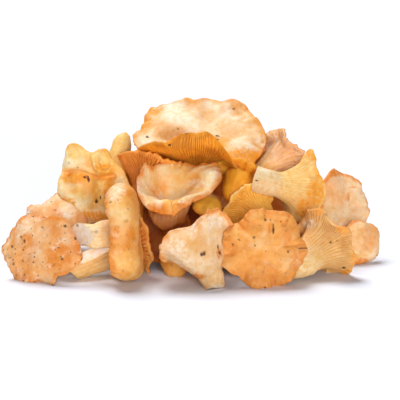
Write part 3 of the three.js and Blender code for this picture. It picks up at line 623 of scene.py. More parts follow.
# %% The eight that meet the eye
recipes += [
    dict(name="broad_cap_on_top", at=(1.5, 2, 75.5), faces=(0, 66), tint="pale", wears="cream_over_gold",
        reach=[32, 34.5, 36.5, 37.5, 39.5, 41, 42, 41, 39, 37, 32, 27, 26, 27, 32, 36, 37.5, 38, 38, 40, 42,
            45, 46, 41], rise=[8, 8, 8, 8, 8, 6, 3, 0, -2, 0, 4, 8, 10, 9, 4, 0, -4, -2, 0, 2, 4, 6, 8, 8],
        lip=[24, 28, 28, 24, 14, -5, -25, -38, -45, -25, 75, 128, 132, 122, 100, 72, 44, 14, -14, -24, -28,
            -26, -16, 6], wave=(9, 8, 0.03, 0.1), hug=0.3, stem=(20, 18, 9.5, 7.5), lean=(2, 0), oval=0.06,
        slant=(0.1, 0), spokes=768, gills=48, gill_high=0.4, frill=0.4,
        dents=[(-17, 5, -11, 4, 5.5, 6), (14, 6, 22, 2, 4, 1.5), (4, 20, 8, 8, 4, 1.2)],
        # Some orange marks brighten the flap's rim where it lies in shade: painted light.
        orange=[(-33.5, 47, 5, 9), (-29, 55, 8, 4), (26.2, 26.5, 15, 5), (9, 34, 10, 4), (-28, 28, 10, 4)],
        scar=[(-14.2, 44, 0.9, 1.6), (-8, 39.5, 1.1, 0.9), (10.2, 38.2, 1.2, 1), (10.5, 35.8, 1.1, 0.8),
            (-17.9, 32.2, 1, 0.8), (-31.6, 37.9, 0.7, 0.9), (20.4, 55.3, 0.9, 0.9)]),
    dict(name="round_cap_in_front", at=(39.5, -65, 22.5), faces=(4, 10), wears="tawny",
        reach=[24.5, 26.5, 26.5, 26, 23.5, 23, 26.5, 23], rise=[-8, -6, -6, -8, -8, -6, -4, -8],
        lip=[-30, -40, -35, -35, -30, -25, -35, -30], wave=(7, 8, 0.03, 0.3), stem=(11, 16, 8, 6.5),
        slant=(0.1, 0), spokes=288, finer=1.3, frill=0.45, lumpy=1.35,
        notches=[(0.78, 0.02, 0.06), (0.4, 0.02, 0.05), (0.62, 0.015, 0.05)],
        dents=[(4, 10, 4.5, 14, 0.9, 1.2), (12, 2, 22, 3, 1, 0.8), (-18, -2, -24, -3, 1.4, 1.5),
            (5, -16, 7, -23, 1.4, 1.8), (-10, -14, -14, -21, 1.4, 1.6), (12, 14, 17, 20, 1.4, 1.5),
            (2, 19, 3, 26, 1.6, 1.8), (-12, 12, -18, 18, 1.4, 1.5), (16, -9, 22, -13, 1.4, 1.5),
            (-16, 5, -15, 9, 3, -1.4), (10, -14, 14, -10, 3, -1.4), (-7, -18, -1, -19, 3, -1.4),
            (17, 9, 19, 4, 3, -1.2), (-4, 18, -7, 17, 3, -1.2)],
        orange=[(50, -21, 3.5, 9), (57.5, -33, 7, 9), (39.5, -41.6, 7, 6), (30.4, -47, 7, 4),
            (58, -14, 6, 4), (27, -15, 5, 4)],
        scar=[(41.8, -16.4, 0.7, 3.4), (50.3, -29.3, 1, 1.1), (59.6, -27.6, 4, 0.6), (58.8, -39.7, 1.2, 1),
            (30.5, -21, 0.7, 0.8)]),
    dict(name="speckled_cap_on_the_left", at=(-90.5, -53, 19.5), faces=(-18, 10), wears="speckled",
        reach=[21, 24, 26, 22, 21, 26, 26, 24], rise=[-8, -8, -4, 0, -6, -8, -10, -10],
        lip=[-25, -35, -35, 0, -35, -35, -40, -35], wave=(6, 10, 0.03, 0.6), stem=(11, 12, 7.5, 6.5),
        lean=(4, 0), slant=(0.1, 0), finer=1.2, frill=0.35, lumpy=0.9, notches=[(0.38, 0.025, 0.14)],
        orange=[(-81, -32, 9, 8), (-100, -22, 4, 4)]),
    dict(name="pale_funnel_in_front", at=(2.7, -50, 26.5), faces=(-152, 52), tint="pale", wears="cream",
        reach=[23, 24, 28, 22, 16, 15, 18, 23], rise=[25, 6, -5, -14, -10, 0, 5, 6],
        lip=[12, -8, -14, -28, -20, -10, 0, -14], wave=(5, 10, 0.03, 0.2), hug=0.08,
        stem=(24, 8.5, 7.5, 6.2), oval=0.06, slant=(0.1, 0), gill_high=0.1, frill=0.6, lumpy=0.8,
        orange=[(1.2, -6.2, 3, 3), (-1.7, -43.6, 6, 1.8), (11, -30, 2, 4), (-20, -22, 3, 2)],
        # These white marks are painted highlights on its smooth pale flank.
        white=[(-15, -27.6, 9, 7), (7.2, -12.6, 8, 5), (-6, -17, 5, 6), (-10, -35.6, 7, 4.5)],
        scar=[(2.4, -30.2, 1.8, 0.9), (0.9, -31.2, 0.9, 0.7), (11, -31.5, 1, 1.8), (10.5, -26, 0.8, 0.8)]),
    dict(name="sideways_trumpet", at=(-31, -50, 30), faces=(91, 5), tint="pale", wears="peach",
        reach=[46, 44.5, 39, 34, 30, 33, 39, 43, 45, 43.5, 40, 34, 30, 33, 38, 44],
        rise=[0, -2, -5, -8, -10, -8, -6, -4, 0, -3, -8, -13, -15, -13, -8, -3],
        lip=[-152, -144, -124, -106, -100, -106, -118, -132, -138, -130, -114, -100, -94, -102, -124, -146],
        wave=(3, 3, 0.02, 0.2), flesh=1.2, hug=0.62, stem=(21, 14, 7.6, 6.3), lean=(0, 1), slant=(1, 100),
        spokes=288, gills=18, gill_high=0.2, frill=0.2, lumpy=0.8, slices=[((-0.7, 0.12, -0.7), 23.5)],
        orange=[(-46.8, -16.7, 2, 3)], white=[(-48.8, 6.8, 7, 9)],
        scar=[(-50.8, -1.2, 0.7, 0.5), (-47.8, -26.2, 0.5, 0.5)]),
    dict(name="leaning_trumpet", at=(-33.5, -28, 18.5), faces=(112, 18),
        reach=[21, 20, 20, 20, 19, 17, 18, 20], rise=[12, 10, 8, 5, 5, 5, 8, 12],
        lip=[20, 15, 10, 0, -10, -5, 10, 20], wave=(6, 10, 0.03, 0), hug=0.35, stem=(14, 30, 7.2, 6.4),
        slant=(0.5, 0), spokes=320, gills=20, gill_high=0.7, frill=0.3, slices=[((-0.55, 0.83, 0), 5.9)]),
    dict(name="folded_cap_upper_left", at=(-61.5, -15, 48), faces=(-24, 0), wears="yellow",
        reach=[23, 28.5, 25.5, 24.5, 25.5, 27.5, 25, 21.5, 22.5, 23, 22.5, 22, 22, 23, 22.5, 23, 26, 30.5],
        rise=[26, 22, 24, 14, 4, 2, 12, 24, 30, 32, 30, 26, 18, 6, 6, 16, 26, 30],
        lip=[-30, -30, -20, -20, -10, 0, -15, -28, -40, -46, -44, -38, -30, -20, -20, -25, -30, -25],
        wave=(5, 6, 0.02, 0.4), flesh=0.6, stem=(8, 24, 6.8, 6.2), lean=(9, 28), blunt=0.8, spokes=320,
        finer=1.9, frill=0.3, lumpy=0.9,
        dents=[(-17.5, 7, -13, 9.5, -8, 10.5, -1.5, 7.5, 6, 6.8, 14.5, 8.5, 1.7, 5),
            (-15, 3.5, -9, 5.5, -2, 4, 4.5, 3), (-1.2, 20, 1.8, 14.5, 3.5, 11, 1.8, 2.5),
            (6, 19, 6.3, 15.8, 9, 13.6, 12.5, 14, 13.5, 16.5, 1.1, 1.8),
            (4.6, 18.5, 5, 14.3, 9, 11.6, 14, 12, 1.2, -1.4), (-14, 15, -7, 15, 5, -3),
            (-6, -12, 6, -12, 7, -2.2), (-16, -3, -12, -6, 5, -2), (10, 4, 12, -8, 2.5, 2)],
        # These orange marks paint the golden glow in the crease of the fold: painted light.
        orange=[(-75, 13, 9, 3.4), (-61.8, -9.5, 11, 3.5), (-79, -2, 6, 4), (-57, 18, 7, 4),
            (-53, 6, 4, 8)],
        # Most of these dark marks lie in the crease of the fold and its slit: painted shade.
        scar=[(-67.6, 13.6, 1.8, 1.1), (-66.2, 11.8, 0.9, 1.6), (-61.2, -0.6, 1, 1.5),
            (-58.8, 1.5, 0.5, 1.3), (-56.4, -1.8, 1, 0.5), (-77.1, 21.6, 0.6, 0.6), (-72, 19.2, 0.6, 0.8)]),
    # Its underside and stem are painted dark: painted shade under its rim.
    dict(name="middle_funnel", at=(-15.5, -26, 43), faces=(0, 71), wears="peach_over_gold",
        reach=[25, 29, 39, 32, 25, 24, 24, 23, 25, 28, 25.5, 23.5],
        rise=[54, 50, 47, 45, 44, 48, 50, 50, 52, 56, 56, 54],
        lip=[25, 20, -10, -40, -55, -52, -50, -36, 20, 85, 95, 50], wave=(4, 6, 0.03, 0.2), hug=0.35,
        stem=(12, 9, 10.5, 5.5), slant=(0.1, 0), spokes=384, gills=24, gill_high=0.3, frill=0.3, lumpy=1.3,
        dents=[(12, -13, 20, -9, 26, -1, 29, 8, 4.5, -4), (11, -2, 13, 2, 4.5, 2.2),
            (3, -15, 4, -22, 0.8, 1.5)], orange=[(-25.8, -4.2, 6, 3), (-11.8, -3.2, 4, 2)],
        white=[(-23.8, 0.8, 3, 6), (-1.8, 9.8, 8, 3), (8, 15, 5, 3), (-35.8, 7.8, 6, 6)]),
]
print("recipes:", len(recipes))

# %% [markdown]
# On the right, two fans and a cap turn their gilled undersides to us, which need many more spokes than
# a smooth face does. Three simpler caps look out between and behind them.

# %% Fans and caps on the right
recipes += [
    dict(name="ridged_fan_on_the_right", at=(60.5, -11, 47), faces=(119, -17), wears="rimmed",
        reach=[24.5, 15, 14, 16, 19, 21, 20, 20, 20, 22, 22, 20, 20, 19, 18, 19],
        rise=[8, 20, 20, 20, 20, 20, 22, 25, 28, 32, 32, 30, 28, 25, 22, 18],
        lip=[8, 20, 20, 15, 10, 10, 20, 30, 40, 50, 50, 45, 40, 30, 25, 20], wave=(5, 4, 0.02, 0.1),
        hug=0.35, stem=(16, 14, 7, 7.5), slant=(0.75, 270), spokes=576, gills=36, gill_high=0.4, margin=0.4,
        # Its orange marks brighten its lower flank, which lies in shade: painted light.
        frill=0.2, orange=[(71.2, 16.8, 5, 9), (68.2, 3.8, 6, 9), (61.2, -5.2, 5, 6), (67.2, 27.8, 4, 5)],
        white=[(36.2, 18.8, 7, 4)], scar=[(34.7, 20.3, 0.4, 1.2), (33.2, 11.3, 1.5, 0.5)]),
    dict(name="ridged_fan_low_right", at=(75.5, -34, 18), faces=(132, 20), tint="pale", wears="cream_gills",
        reach=[22, 23.5, 18.5, 19, 20, 20, 20, 20.5, 21, 21.5, 22, 21.5, 21, 21.5, 21, 18],
        rise=[15, 13, 10, 10, 10, 10, 10, 10, 10, 15, 20, 20, 20, 18, 15, 15],
        lip=[10, 10, 5, 0, 0, 0, 0, 10, 20, 25, 30, 25, 20, 15, 10, 8], wave=(7, 12, 0.04, 0.3), hug=0.3,
        stem=(15, 15, 9, 8), lean=(0, 7), spokes=640, gills=40, gill_high=0.42, frill=0.7, lumpy=0.8,
        orange=[(83, -16, 5, 4), (90, -34, 2.5, 8), (86, -43, 4, 3), (69, -5.5, 3.5, 4)],
        white=[(64, -14, 4, 3.5)], scar=[(84.3, -39.7, 1.2, 0.7), (75.6, -24.5, 0.9, 0.7)]),
    dict(name="ridged_cap_in_the_middle", at=(37, -17, 38), faces=(205, 30), tint="deep",
        wears="gold_gills", reach=[17, 22, 23, 20, 15, 10, 8, 11], rise=[5, 0, 0, 0, 0, 0, 5, 5],
        lip=[5, -5, -5, -5, 0, 0, 5, 5], wave=(6, 8, 0.03, 0.3), hug=0.3, stem=(14, 12, 7, 6), spokes=512,
        gills=32, gill_high=0.42),
    dict(name="high_cap_on_the_right", at=(89.5, 7, 33), faces=(35, 15), tint="pale", wears="rose",
        reach=[22, 20, 21, 22, 25, 23, 20, 20], rise=[4, 4, 4, 4, 0, 4, 4, 4],
        lip=[-12, -12, -15, -20, -10, 0, 10, 0], wave=(6, 10, 0.03, 0.3), stem=(11, 18, 7.5, 6),
        lean=(0, -6), frill=0.25, lumpy=0.9,
        orange=[(90.2, 1.8, 1.2, 3), (80.2, 16.8, 12, 3), (70.2, -3.2, 5, 9), (93.2, 7.8, 3, 0.6)]),
    dict(name="small_cap_on_the_right", at=(101.5, -9, 12.7), faces=(25, 10), wears="rose",
        reach=[16, 17, 17, 15, 14, 14, 14, 15], rise=[-12], lip=[-50], wave=(5, 8, 0.03, 0.3), flesh=0.8,
        stem=(8, 12, 5.5, 5), frill=0.2, lumpy=0.9, orange=[(96.2, -37.2, 6, 3)]),
    dict(name="small_cap_behind_the_top", at=(52.5, 13, 63), faces=(124, 24), tint="pale", wears="rose",
        reach=[16.5, 16, 16, 16, 16, 16, 17.5, 20], rise=[10, 10, 10, 10, 10, 20, 20, 15],
        lip=[-10, -10, -10, 0, 10, 20, 10, 0], wave=(5, 14, 0.04, 0.3), flesh=0.8, hug=0.3,
        stem=(12, 18, 5.5, 5), lean=(-4, -8), spokes=288, gill_high=0.4, lumpy=1),
]
print("recipes:", len(recipes))

# %% [markdown]
# Between the big ones, small caps, buttons and a stout stem fill the gaps, as they do when a basket is
# tipped out. A button is a young chanterelle whose cap is still curled down all round.

# %% Caps and buttons in the gaps
recipes += [
    dict(name="frosted_cap_behind_left", at=(-81.5, -20, 35), faces=(-15, 52), tint="pale", wears="frosted",
        reach=[18, 18, 20, 20, 18, 20, 21, 18], rise=[-8], lip=[-30, -30, -40, -40, -35, -40, -30, -30],
        wave=(6, 14, 0.04, 0.3), flesh=0.9, stem=(11, 22, 6.5, 5.5), lumpy=0.9),
    # Its darker amber finish is painted shade, as it lies under the broad cap on top.
    dict(name="dark_ridged_cap_under_the_top", at=(-27.5, 0, 53.2), faces=(153, 46), tint="deep",
        wears="amber", reach=[22, 22, 22, 22, 20, 20, 22, 22], rise=[10, 10, 10, 10, 10, 20, 20, 15],
        lip=[10, 10, 0, 0, 0, 20, 20, 10], wave=(6, 10, 0.03, 0.3), flesh=0.9, hug=0.35,
        stem=(14, 14, 6, 5), spokes=416, gills=26, gill_high=0.8),
    dict(name="stout_stem_in_the_middle", at=(30.5, -8, 55.5), faces=(152, 36), wears="saffron",
        reach=[15, 16, 19, 17, 15, 15, 15, 15], lip=[-10], flesh=0.9, stem=(9, 14, 10.5, 8), slant=(0.1, 0),
        blunt=0.35, spokes=224, gills=10, finer=1.5),
    dict(name="yellow_button_in_the_middle", at=(8.5, -25, 42.5), faces=(10, 55), wears="saffron",
        reach=[9, 10, 11, 10, 9, 10, 11, 10], rise=[-15], lip=[-65], wave=(5, 6, 0.02, 0.3), flesh=0.9,
        stem=(8, 16, 4.5, 4), spokes=160, gills=10, frill=0.2),
    dict(name="button_on_the_table", at=(-14.5, -39, 8), faces=(-30, 5), reach=[11], rise=[-20], lip=[-60],
        wave=(5, 5, 0.02, 0.3), flesh=0.8, stem=(8, 10, 4.5, 4), spokes=144, gills=10, frill=0.2),
]
print("recipes:", len(recipes))

# %% [markdown]
# Three caps carry the heap from inside and are hardly seen, so they are coarse, and their dark finish
# is painted shade, as they lie deep in the heap. The back is finished like the front, with somewhat
# fewer rings.

# %% The heart and the back of the heap
BACK = dict(finer=0.75)
# The hidden caps wear the dark umber finish: painted shade for the inside of the heap.
HIDDEN = dict(BACK, tint="deep", wears="umber", spokes=112, gills=8)
recipes += [
    dict(HIDDEN, name="cap_inside_the_heap", at=(-23.5, -15, 22), faces=(-10, 30),
        reach=[20, 21, 22, 20, 19, 20, 21, 20], rise=[5], wave=(5, 10, 0.03, 0.1), flesh=0.9,
        stem=(11, 26, 7.5, 7)),
    dict(HIDDEN, name="cap_deep_in_the_middle", at=(22.5, -23, 20), faces=(10, 30),
        reach=[20, 21, 22, 20, 18, 20, 21, 20], rise=[5], wave=(5, 10, 0.03, 0.5), flesh=0.9,
        stem=(11, 26, 7.5, 7)),
    dict(HIDDEN, name="cap_low_in_the_middle", at=(0.5, 11, 26), faces=(60, 75),
        reach=[24, 25, 26, 24, 22, 24, 25, 24], rise=[5], lip=[-25], wave=(5, 10, 0.03, 0.8),
        stem=(12, 20, 8, 7)),
    dict(BACK, name="broad_cap_at_the_back", at=(10.5, 63, 25), faces=(178, 15),
        reach=[24, 28, 31, 27, 30, 25, 27, 23, 26, 31, 27, 29],
        rise=[2, 6, 0, -6, 2, 8, 0, -6, 0, 8, 2, -4],
        lip=[-25, 10, -25, -30, 0, 20, -20, -35, -20, 20, -10, -25], wave=(7, 10, 0.03, 0.2),
        stem=(12, 24, 8, 7)),
    dict(BACK, name="leaning_cap_at_the_back_left", at=(-43.5, 49, 22), faces=(208, 22), wears="peach",
        reach=[22, 26, 24, 27, 22, 25, 23, 26, 22, 27, 24, 25],
        rise=[10, 6, -4, 6, 12, 4, -6, 2, 10, 6, -2, 6],
        lip=[20, -10, -30, 0, 20, 10, -25, -10, 15, 0, -25, 0], wave=(6, 12, 0.03, 0.4),
        stem=(12, 24, 7.5, 6.5)),
    # Its darker amber finish is painted shade, as it lies in a hollow at the back of the heap.
    dict(BACK, name="ridged_fan_at_the_back_right", at=(58.5, 41, 21), faces=(20, 32), wears="amber",
        reach=[24, 22, 20, 21, 22, 24, 22, 25], rise=[18, 12, 8, 10, 15, 22, 15, 12],
        lip=[15, 5, -10, 0, 20, 30, 10, 0], wave=(6, 12, 0.04, 0.7), hug=0.3, stem=(15, 14, 8.5, 7.5),
        spokes=256, gills=16, gill_high=0.6),
    dict(BACK, name="funnel_high_at_the_back", at=(-13.5, 35, 50), faces=(190, 60), wears="yellow",
        reach=[22, 23, 24, 23, 22, 23, 24, 23], rise=[35, 30, 25, 30, 35, 30, 25, 30],
        lip=[30, 30, 20, 30, 40, 40, 20, 30], wave=(5, 12, 0.04, 0.2), stem=(14, 18, 8, 7), spokes=208,
        gills=13, gill_high=0.6),
    dict(BACK, name="trumpet_high_at_the_back_right", at=(35.5, 33, 48), faces=(160, 50),
        reach=[21, 22, 23, 22, 21, 22, 23, 22], rise=[20], lip=[10, 20, 30, 20, 10, 20, 30, 20],
        wave=(5, 12, 0.04, 0.6), stem=(14, 20, 7.5, 7), spokes=208, gills=13, gill_high=0.6),
    dict(BACK, name="cap_on_the_left_at_the_back", at=(-81.5, 19, 19.6), faces=(255, 15), wears="speckled",
        reach=[20, 23, 20, 24, 21, 22, 19, 22, 20, 24, 20, 22],
        rise=[0, 6, -4, 4, 0, 6, -4, 0, 0, 6, -4, 0],
        lip=[-25, 0, -35, 0, -20, 5, -35, -10, -25, 0, -30, -10], wave=(6, 10, 0.03, 0.1),
        stem=(11, 24, 7, 6.5)),
    dict(BACK, name="trumpet_high_at_the_back_left", at=(-53.5, 21, 44), faces=(235, 45),
        reach=[20, 21, 22, 21, 20, 20, 21, 20], rise=[15], lip=[5], wave=(6, 10, 0.03, 0.5),
        stem=(12, 20, 7, 6.5), spokes=208, gills=13, gill_high=0.6),
    dict(BACK, name="small_cap_at_the_back_right", at=(91.5, 31, 13), faces=(110, 25),
        reach=[13, 14, 14, 14, 14, 13, 14, 13], rise=[-10], lip=[-40], wave=(5, 10, 0.03, 0.2), flesh=0.8,
        stem=(8, 14, 5.5, 5), spokes=160, gills=10),
]

for index, recipe in enumerate(recipes):
    recipe.update({**USUAL, **recipe, "seed": 100 + index})
print("recipes:", len(recipes), "with the finishes", sorted({recipe["wears"] for recipe in recipes}))

# %% [markdown]
# ## Mushroom flesh
# All the mushrooms are of one kind of flesh: dry, matt and a little waxy, because light goes a few
# millimetres into it. What differs is the colour, from cream to deep orange. The finishes differ in
# their colours and in how much of each thing they show. A usual set of golden values is changed where
# a finish needs it.

# %% Mix the colours
GOLDEN = dict(
    # valley is the colour of the gills' valleys, painted darker than the crests as shade between them.
    skin="#f1b054", glow="#e2892e", pale="#f6cd8e", rim="#e58a28", crest="#f0b663", valley="#cf7a26",
    # The white marks' colour serves pale spots and painted highlights, the dark one scars and painted
    # shade.
    stem="#f5cf92", fibre="#eab05c", cut="#f3dfcb", bloomed="#f9ecda", pale_spot_and_highlight="#fbecd4",
    scar_and_shade_brown="#5c3212", soil="#6b3f1a", pale_share=0.6, rim_share=0.85, rim_from=0.25, bloom=0, specks=0.16,
)
finishes = {
    "golden": {},
    "tawny": dict(skin="#f4ac56", glow="#ec9a44", pale="#f6c486", rim="#ea9846", pale_share=0.35,
        bloom=0.15, specks=0.4),
    "speckled": dict(skin="#f0ae68", glow="#e08a38", pale="#f8dcb8", bloom=0.42, specks=0.9),
    "cream": dict(skin="#e7ae68", glow="#e09a54", pale="#f5dcbc", crest="#f3c480", valley="#d9924a",
        stem="#efc896", fibre="#e6b272", cut="#f3dcc4", pale_share=0.8),
    "cream_over_gold": dict(skin="#f7cd9a", glow="#ecae68", pale="#fdead0", rim="#f5a022",
        crest="#eea22e", valley="#bd6c14", stem="#f5c880", fibre="#e3a452", pale_share=0.85,
        rim_share=0.7),
    "peach": dict(skin="#f6b760", glow="#ec963a", pale="#fad394", crest="#f2b66c", valley="#b8682a",
        stem="#fadfb2", fibre="#f1c484", pale_share=0.5, bloom=0.2, specks=0.3),
    # A pale peach face, with gills, stem and cut foot painted dark brown-orange as shade under the rim.
    "peach_over_gold": dict(skin="#fcc878", glow="#f3a548", pale="#fee6bc", crest="#bc6c22",
        valley="#8e4410", stem="#a05414", fibre="#864010", cut="#a86020", pale_share=0.9),
    "yellow": dict(skin="#ffd988", glow="#f8b34c", pale="#ffefca", rim="#f5a828", crest="#f0aa38",
        valley="#cf8016", stem="#fcd484", fibre="#fbc873", rim_share=0.6, rim_from=0.35, specks=0.08),
    "saffron": dict(skin="#ffba34", glow="#ea961c", pale="#ffd060", crest="#f6b23a", valley="#e0921e",
        stem="#f6ac2c", fibre="#f09c1e", cut="#f4a82a", specks=0.02),
    # umber is a darker copy of the flesh for caps deep inside the heap: painted shade.
    "umber": dict(skin="#a85614", glow="#944408", pale="#cc8034", rim="#c87020", crest="#a85a16",
        valley="#6c3008", stem="#a4622a", fibre="#8c4810", cut="#c08448", specks=0.03),
    # amber is a darker copy of the flesh for caps in the shade of others: painted shade.
    "amber": dict(skin="#d87c24", glow="#c46414", pale="#e7a04c", rim="#f39a2c", crest="#ffac4e",
        valley="#cc7420", stem="#d98a34", fibre="#bd6418", cut="#d89a58", specks=0.03),
    "cream_gills": dict(skin="#f5cf9c", glow="#ebae6c", pale="#fbe8cc", rim="#f2a848", crest="#ecbd7c",
        valley="#d89a50", stem="#f8d8a4", fibre="#f0c684"),
    "gold_gills": dict(skin="#f2ac4c", glow="#e6962e", rim="#f8d29a", crest="#ffc65a", valley="#f2a63c",
        stem="#f6bc60", rim_share=1, rim_from=0.1),
    "rimmed": dict(skin="#f9be58", glow="#f3ac48", rim="#f9a92c", crest="#fcd48a", valley="#f6c070",
        stem="#faddb0", fibre="#f0ca8e", rim_share=1, rim_from=0.1),
    "rose": dict(skin="#f8ca90", glow="#f2b070", pale="#fadfbc", rim="#eb8f30", crest="#fbd8ae",
        valley="#f2bf90", specks=0.08),
    "frosted": dict(skin="#f5bd7e", glow="#e8964a", pale="#fbe4c8", bloom=0.7, specks=0.25),
}
print("finishes:", len(finishes))

# %% [markdown]
# One function builds a finish from its colours, as a painter would, in coats that go over each other.
# Each coat is a pattern on the skin, the values of it between which the coat comes in, how strong the
# coat is at most, and its colour. Three things are painted so: the gills, which are light on their
# crests and deep orange in the valleys, as painted shade between the ridges, the bark of the stem with
# its fibres, and then the skin, into which those two are laid where the skin is underside or stem. The
# skin's hollows are painted more orange, as painted glow and shade, and its humps paler, as painted
# highlight. Fine mottling and grain come last.

# %% Build one finish
NOISES = dict(  # size of each pattern in millimetres, its detail and how rough it is
    blotch=(13, 4, 0.6), cloud=(21, 3, 0.55), patch=(9, 3, 0.5), fray=(2, 4, 0.5), crust=(7, 6, 0.7),
    crumble=(1.5, 3, 0.5), mottle=(2.6, 4, 0.6), grain=(0.7, 3, 0.5),
)
FIBRES = (9, 9, 2)  # scale round a stem, where fibres are a millimetre apart, and along it
CRUMBLE_BY = 2.4 * MM  # how ragged a speck is
SPECKS = ((6, 0.8), (3, 1))  # distance of the specks in millimetres, and the share that may show
DOT_EDGE, DOT_CORE = 0.22, 0.11  # where a speck ends and where it is full, in cells
DARK_OVER, DARKEST = 0.3, 0.96  # how far above the least chance it is darkest, and how dark
GRAIN_HIGH, GRAIN_SHOWS = 0.35 * MM, 0.7  # the roughness of a dry skin, and how strongly it shows
DEEPER = (0.96, 0.83, 0.58)  # darker grains are also more orange, as the thicker pigment is
WAXY = {  # what dry flesh gives the eye: hardly any gloss, and light that goes in a few millimetres
    "Roughness": 0.58, "IOR": 1.4, "Subsurface Weight": 0.2, "Subsurface Radius": (1.0, 0.6, 0.3),
    "Subsurface Scale": 3 * MM,
}


def per(millimetres):
    """The scale that a texture needs for features of that size."""
    return 1 / (millimetres * MM)


def chanterelle_flesh(name, look):
    """A material of that name, with colours and shares as in the look."""
    material = bpy.data.materials.new(name)
    material.use_nodes = True
    tree = material.node_tree
    shader = tree.nodes["Principled BSDF"]
    tones = {part: colour(web) for part, web in look.items() if isinstance(web, str)}

    # What each spot is made of, where it lies and how the stem grew.
    stored = {}
    for kind in ("made_of", "relief", "marks", "growth"):
        stored[kind] = add_node(tree, "Attribute", {}, out="Vector", attribute_name=kind)
    under, stem, cut = add_node(tree, "SeparateXYZ", {0: stored["made_of"]}).node.outputs
    rim, ridge, low = add_node(tree, "SeparateXYZ", {0: stored["relief"]}).node.outputs
    scar, orange, white = add_node(tree, "SeparateXYZ", {0: stored["marks"]}).node.outputs
    place = add_node(tree, "TexCoord", {}, out="Object")

    noise = {}
    for kind, (size, detail, rough) in NOISES.items():
        feeds = {"Vector": place, "Scale": per(size), "Detail": detail, "Roughness": rough}
        noise[kind] = add_node(tree, "TexNoise", feeds)
    blotch = noise["blotch"]
    along = add_node(tree, "VectorMath", {0: stored["growth"], 1: FIBRES}, operation="MULTIPLY")
    fibre = add_node(tree, "TexNoise", {"Vector": along, "Scale": 1.0, "Detail": 3})

    # The rim's orange comes and goes, and single marks have ragged edges.
    rim, orange, white, scar = [
        add_node(tree, "Math", {0: where, 1: noise[broken]}, operation="MULTIPLY")
        for where, broken in ((rim, "patch"), (orange, "fray"), (white, "fray"), (scar, "fray"))
    ]

    # Ragged specks of soil in two sizes. Each cell of a pattern holds a dot in its middle, but only
    # some cells are chosen, and those that are chosen just barely have a faint one.
    ragged = {0: noise["crumble"].node.outputs["Color"], 1: [CRUMBLE_BY] * 3}
    ragged = add_node(tree, "VectorMath", ragged, operation="MULTIPLY")
    ragged = add_node(tree, "VectorMath", {0: ragged, 1: place}, operation="ADD")
    specks = []
    for apart, share in SPECKS:
        cell = add_node(tree, "TexVoronoi", {"Vector": ragged, "Scale": per(apart)}, out="Distance")
        dot = add_node(tree, "MapRange", {0: cell, 1: DOT_EDGE, 2: DOT_CORE})
        chance = add_node(tree, "SeparateColor", {0: cell.node.outputs["Color"]})
        least = 1 - share * look["specks"]
        chosen = {0: chance, 1: least, 2: least + DARK_OVER, 4: DARKEST}
        chosen = add_node(tree, "MapRange", chosen)
        specks.append(add_node(tree, "Math", {0: dot, 1: chosen}, operation="MULTIPLY"))

    rim_from = look["rim_from"]
    coats = {
        "gills": [
            # The valleys of the gills are painted a deeper orange: painted shade between the ridges.
            tones["valley"],
            (ridge, 0.05, 0.75, 1, "crest"),
            (blotch, 0.46, 0.64, 0.7, "valley"),  # bruises
        ],
        "bark": [tones["stem"], (fibre, 0.38, 0.62, 0.65, "fibre")],
        "flesh": [
            tones["skin"],
            (blotch, 0.46, 0.64, 1, "glow"),  # soft blotches a centimetre wide
            (noise["cloud"], 0.47, 0.62, look["pale_share"], "pale"),
            (low, 0.1, 1, 0.7, "glow"),  # hollows are painted more orange: painted glow and shade
            (low, -0.15, -0.7, 0.8, "pale"),  # and humps are painted pale: painted highlight
            (rim, rim_from, rim_from + 0.25, look["rim_share"], "rim"),
            (under, 0, 1, 1, "gills"),
            (stem, 0, 1, 1, "bark"),
            (cut, 0, 1, 1, "cut"),
            # Orange marks: orange spots and cracks, and painted light where a rim, flank or crease lies in
            # shade.
            (orange, 0.2, 0.55, 0.95, "rim"),
            # White marks: pale spots of the skin, and in part painted highlights.
            (white, 0.2, 0.7, 0.8, "pale_spot_and_highlight"),
            # Dark marks: scars and specks, and painted shade in the crease of the folded cap.
            (scar, 0.2, 0.45, 0.97, "scar_and_shade_brown"),
            (noise["crust"], 0.56, 0.62, look["bloom"], "bloomed"),  # a whitish bloom in crusty patches
            (specks[0], 0, 1, 1, "soil"),
            (specks[1], 0, 1, 1, "soil"),
        ],
    }
    for part, (tint, *layers) in coats.items():
        for pattern, first, full, share, tone in layers:
            share = add_node(tree, "MapRange", {0: pattern, 1: first, 2: full, 4: share})
            feeds = {0: share, 6: tint, 7: tones[tone]}
            tint = add_node(tree, "Mix", feeds, out=2, data_type="RGBA")
        tones[part] = tint

    # Fine mottling. With the grain of a dry skin it also stands up about a tenth of a millimetre.
    share = add_node(tree, "MapRange", {0: noise["mottle"], 1: 0.43, 2: 0.64})
    deeper = add_node(tree, "VectorMath", {0: tint, 1: DEEPER}, operation="MULTIPLY")
    tint = add_node(tree, "Mix", {0: share, 6: tint, 7: deeper}, out=2, data_type="RGBA")
    grain = add_node(tree, "Math", {0: noise["grain"], 1: noise["mottle"]}, operation="ADD")
    feeds = {"Height": grain, "Strength": GRAIN_SHOWS, "Distance": GRAIN_HIGH}
    bump = add_node(tree, "Bump", feeds)

    tree.links.new(tint, shader.inputs["Base Color"])
    tree.links.new(bump, shader.inputs["Normal"])
    for socket, value in WAXY.items():
        shader.inputs[socket].default_value = value
    return material


materials = {}
for name, change in finishes.items():
    materials[name] = chanterelle_flesh(f"{name} chanterelle flesh", {**GOLDEN, **change})
print("finishes mixed:", *materials)

# %% [markdown]
# ## Press the mushrooms together
# Mushrooms are soft, and in a heap each one gives way a little to its neighbours. We grow them in the
# order of the recipes, and each one gives way to those before it: a Boolean modifier takes away what
# would lie inside a neighbour, or below the table. Before a mushroom is used as such a tool it is
# blown up by a hair, so that a thin dark line stays between the two. What a cut has parted is split
# into loose pieces, and only the biggest stays.

